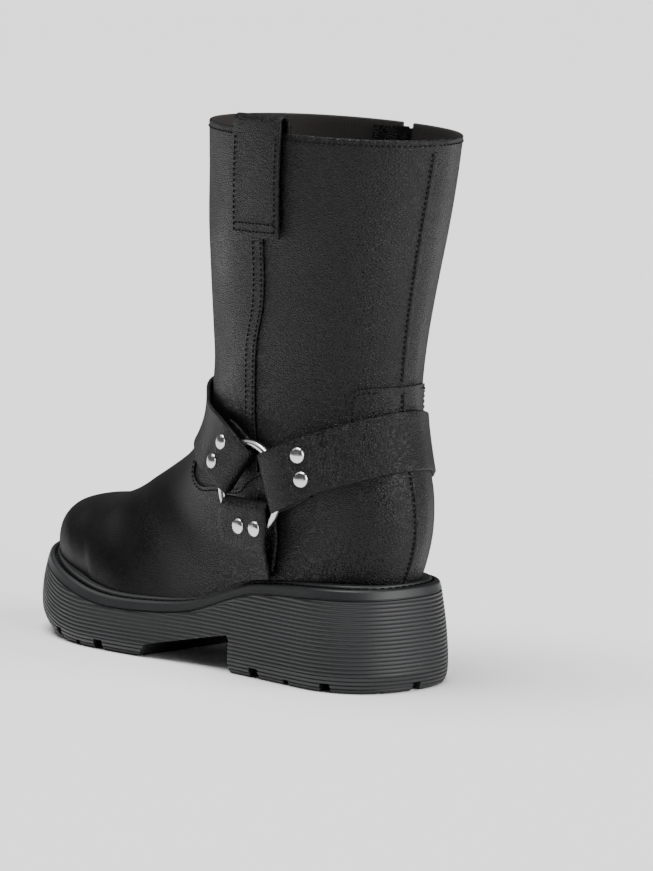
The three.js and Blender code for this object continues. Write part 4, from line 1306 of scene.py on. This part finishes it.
class BOOT_OT_stage(bpy.types.Operator):
    """Pale floor, soft lights and the camera"""

    bl_idname = "boot.stage"
    bl_label = "Stage"

    def execute(self, context):
        made = bmesh.new()
        bmesh.ops.create_grid(made, x_segments=1, y_segments=1, size=40.0)
        floor = shown(made, "floor")
        floor.location = (0, 0, -0.0003)
        floor.data.materials.append(finish("backdrop_paper"))
        world = bpy.data.worlds.new("studio")
        world.use_nodes = True
        world.node_tree.nodes["Background"].inputs["Color"].default_value = linear("#ffffff")
        world.node_tree.nodes["Background"].inputs["Strength"].default_value = 0.1
        context.scene.world = world
        for row in LIGHTS:
            self.light(*row)
        self.camera(context)
        return {"FINISHED"}

    def light(self, name, way, spread, strength):
        lamp = bpy.data.lights.new(name, "SUN")
        lamp.angle = math.radians(spread)
        lamp.energy = strength
        made = bpy.data.objects.new(name, lamp)
        made.rotation_mode = "QUATERNION"
        made.rotation_quaternion = Vector(way).to_track_quat("Z", "Y")
        bpy.context.scene.collection.objects.link(made)

    def camera(self, context):
        turn, tilt = math.radians(49.0), math.radians(7.5)
        distance, slide, rise = 2300.0, -20.7, 13.4
        right = Vector((-math.sin(turn), math.cos(turn), 0))
        level = Vector((-math.cos(turn), -math.sin(turn), 0))
        ahead = level * math.cos(tilt) + Vector((0, 0, -1)) * math.sin(tilt)
        up = Vector((0, 0, 1)) * math.cos(tilt) + level * math.sin(tilt)
        aim = Vector((0, HEEL_CENTRE - 100.0, 130.0))
        lens = bpy.data.cameras.new("camera")
        lens.sensor_width = 36.0
        lens.lens = 4561.7 / 871 * 36.0
        lens.clip_start = 0.1
        lens.clip_end = 200.0
        made = bpy.data.objects.new("camera", lens)
        made.location = (aim - (right * slide + up * rise + ahead * distance)) * MM
        made.rotation_mode = "QUATERNION"
        made.rotation_quaternion = Matrix((right, up, -ahead)).transposed().to_quaternion()
        context.scene.collection.objects.link(made)
        context.scene.camera = made


class BOOT_PT_panel(bpy.types.Panel):
    """The boot's colours and sizes, and its pieces"""

    bl_idname = "BOOT_PT_panel"
    bl_label = "Biker boot"
    bl_space_type = "VIEW_3D"
    bl_region_type = "UI"
    bl_category = "Boot"

    def draw(self, context):
        for name in BootLook.__annotations__:
            self.layout.prop(context.scene.boot_look, name)
        for operator in OPERATORS:
            self.layout.operator(operator.bl_idname)


OPERATORS = (
    BOOT_OT_sole,
    BOOT_OT_welt,
    BOOT_OT_upper,
    BOOT_OT_overlays,
    BOOT_OT_straps,
    BOOT_OT_rings,
    BOOT_OT_rivets,
    BOOT_OT_loop,
    BOOT_OT_zip,
    BOOT_OT_stitches,
    BOOT_OT_stage,
)


def register():
    bpy.utils.register_class(BootLook)
    for operator in OPERATORS:
        bpy.utils.register_class(operator)
    bpy.utils.register_class(BOOT_PT_panel)
    bpy.types.Scene.boot_look = bpy.props.PointerProperty(type=BootLook)


def unregister():
    del bpy.types.Scene.boot_look
    bpy.utils.unregister_class(BOOT_PT_panel)
    for operator in reversed(OPERATORS):
        bpy.utils.unregister_class(operator)
    bpy.utils.unregister_class(BootLook)


def main():
    register()
    for operator in OPERATORS:
        getattr(bpy.ops.boot, operator.bl_idname.split(".")[1])()


if __name__ == "__main__":
    main()
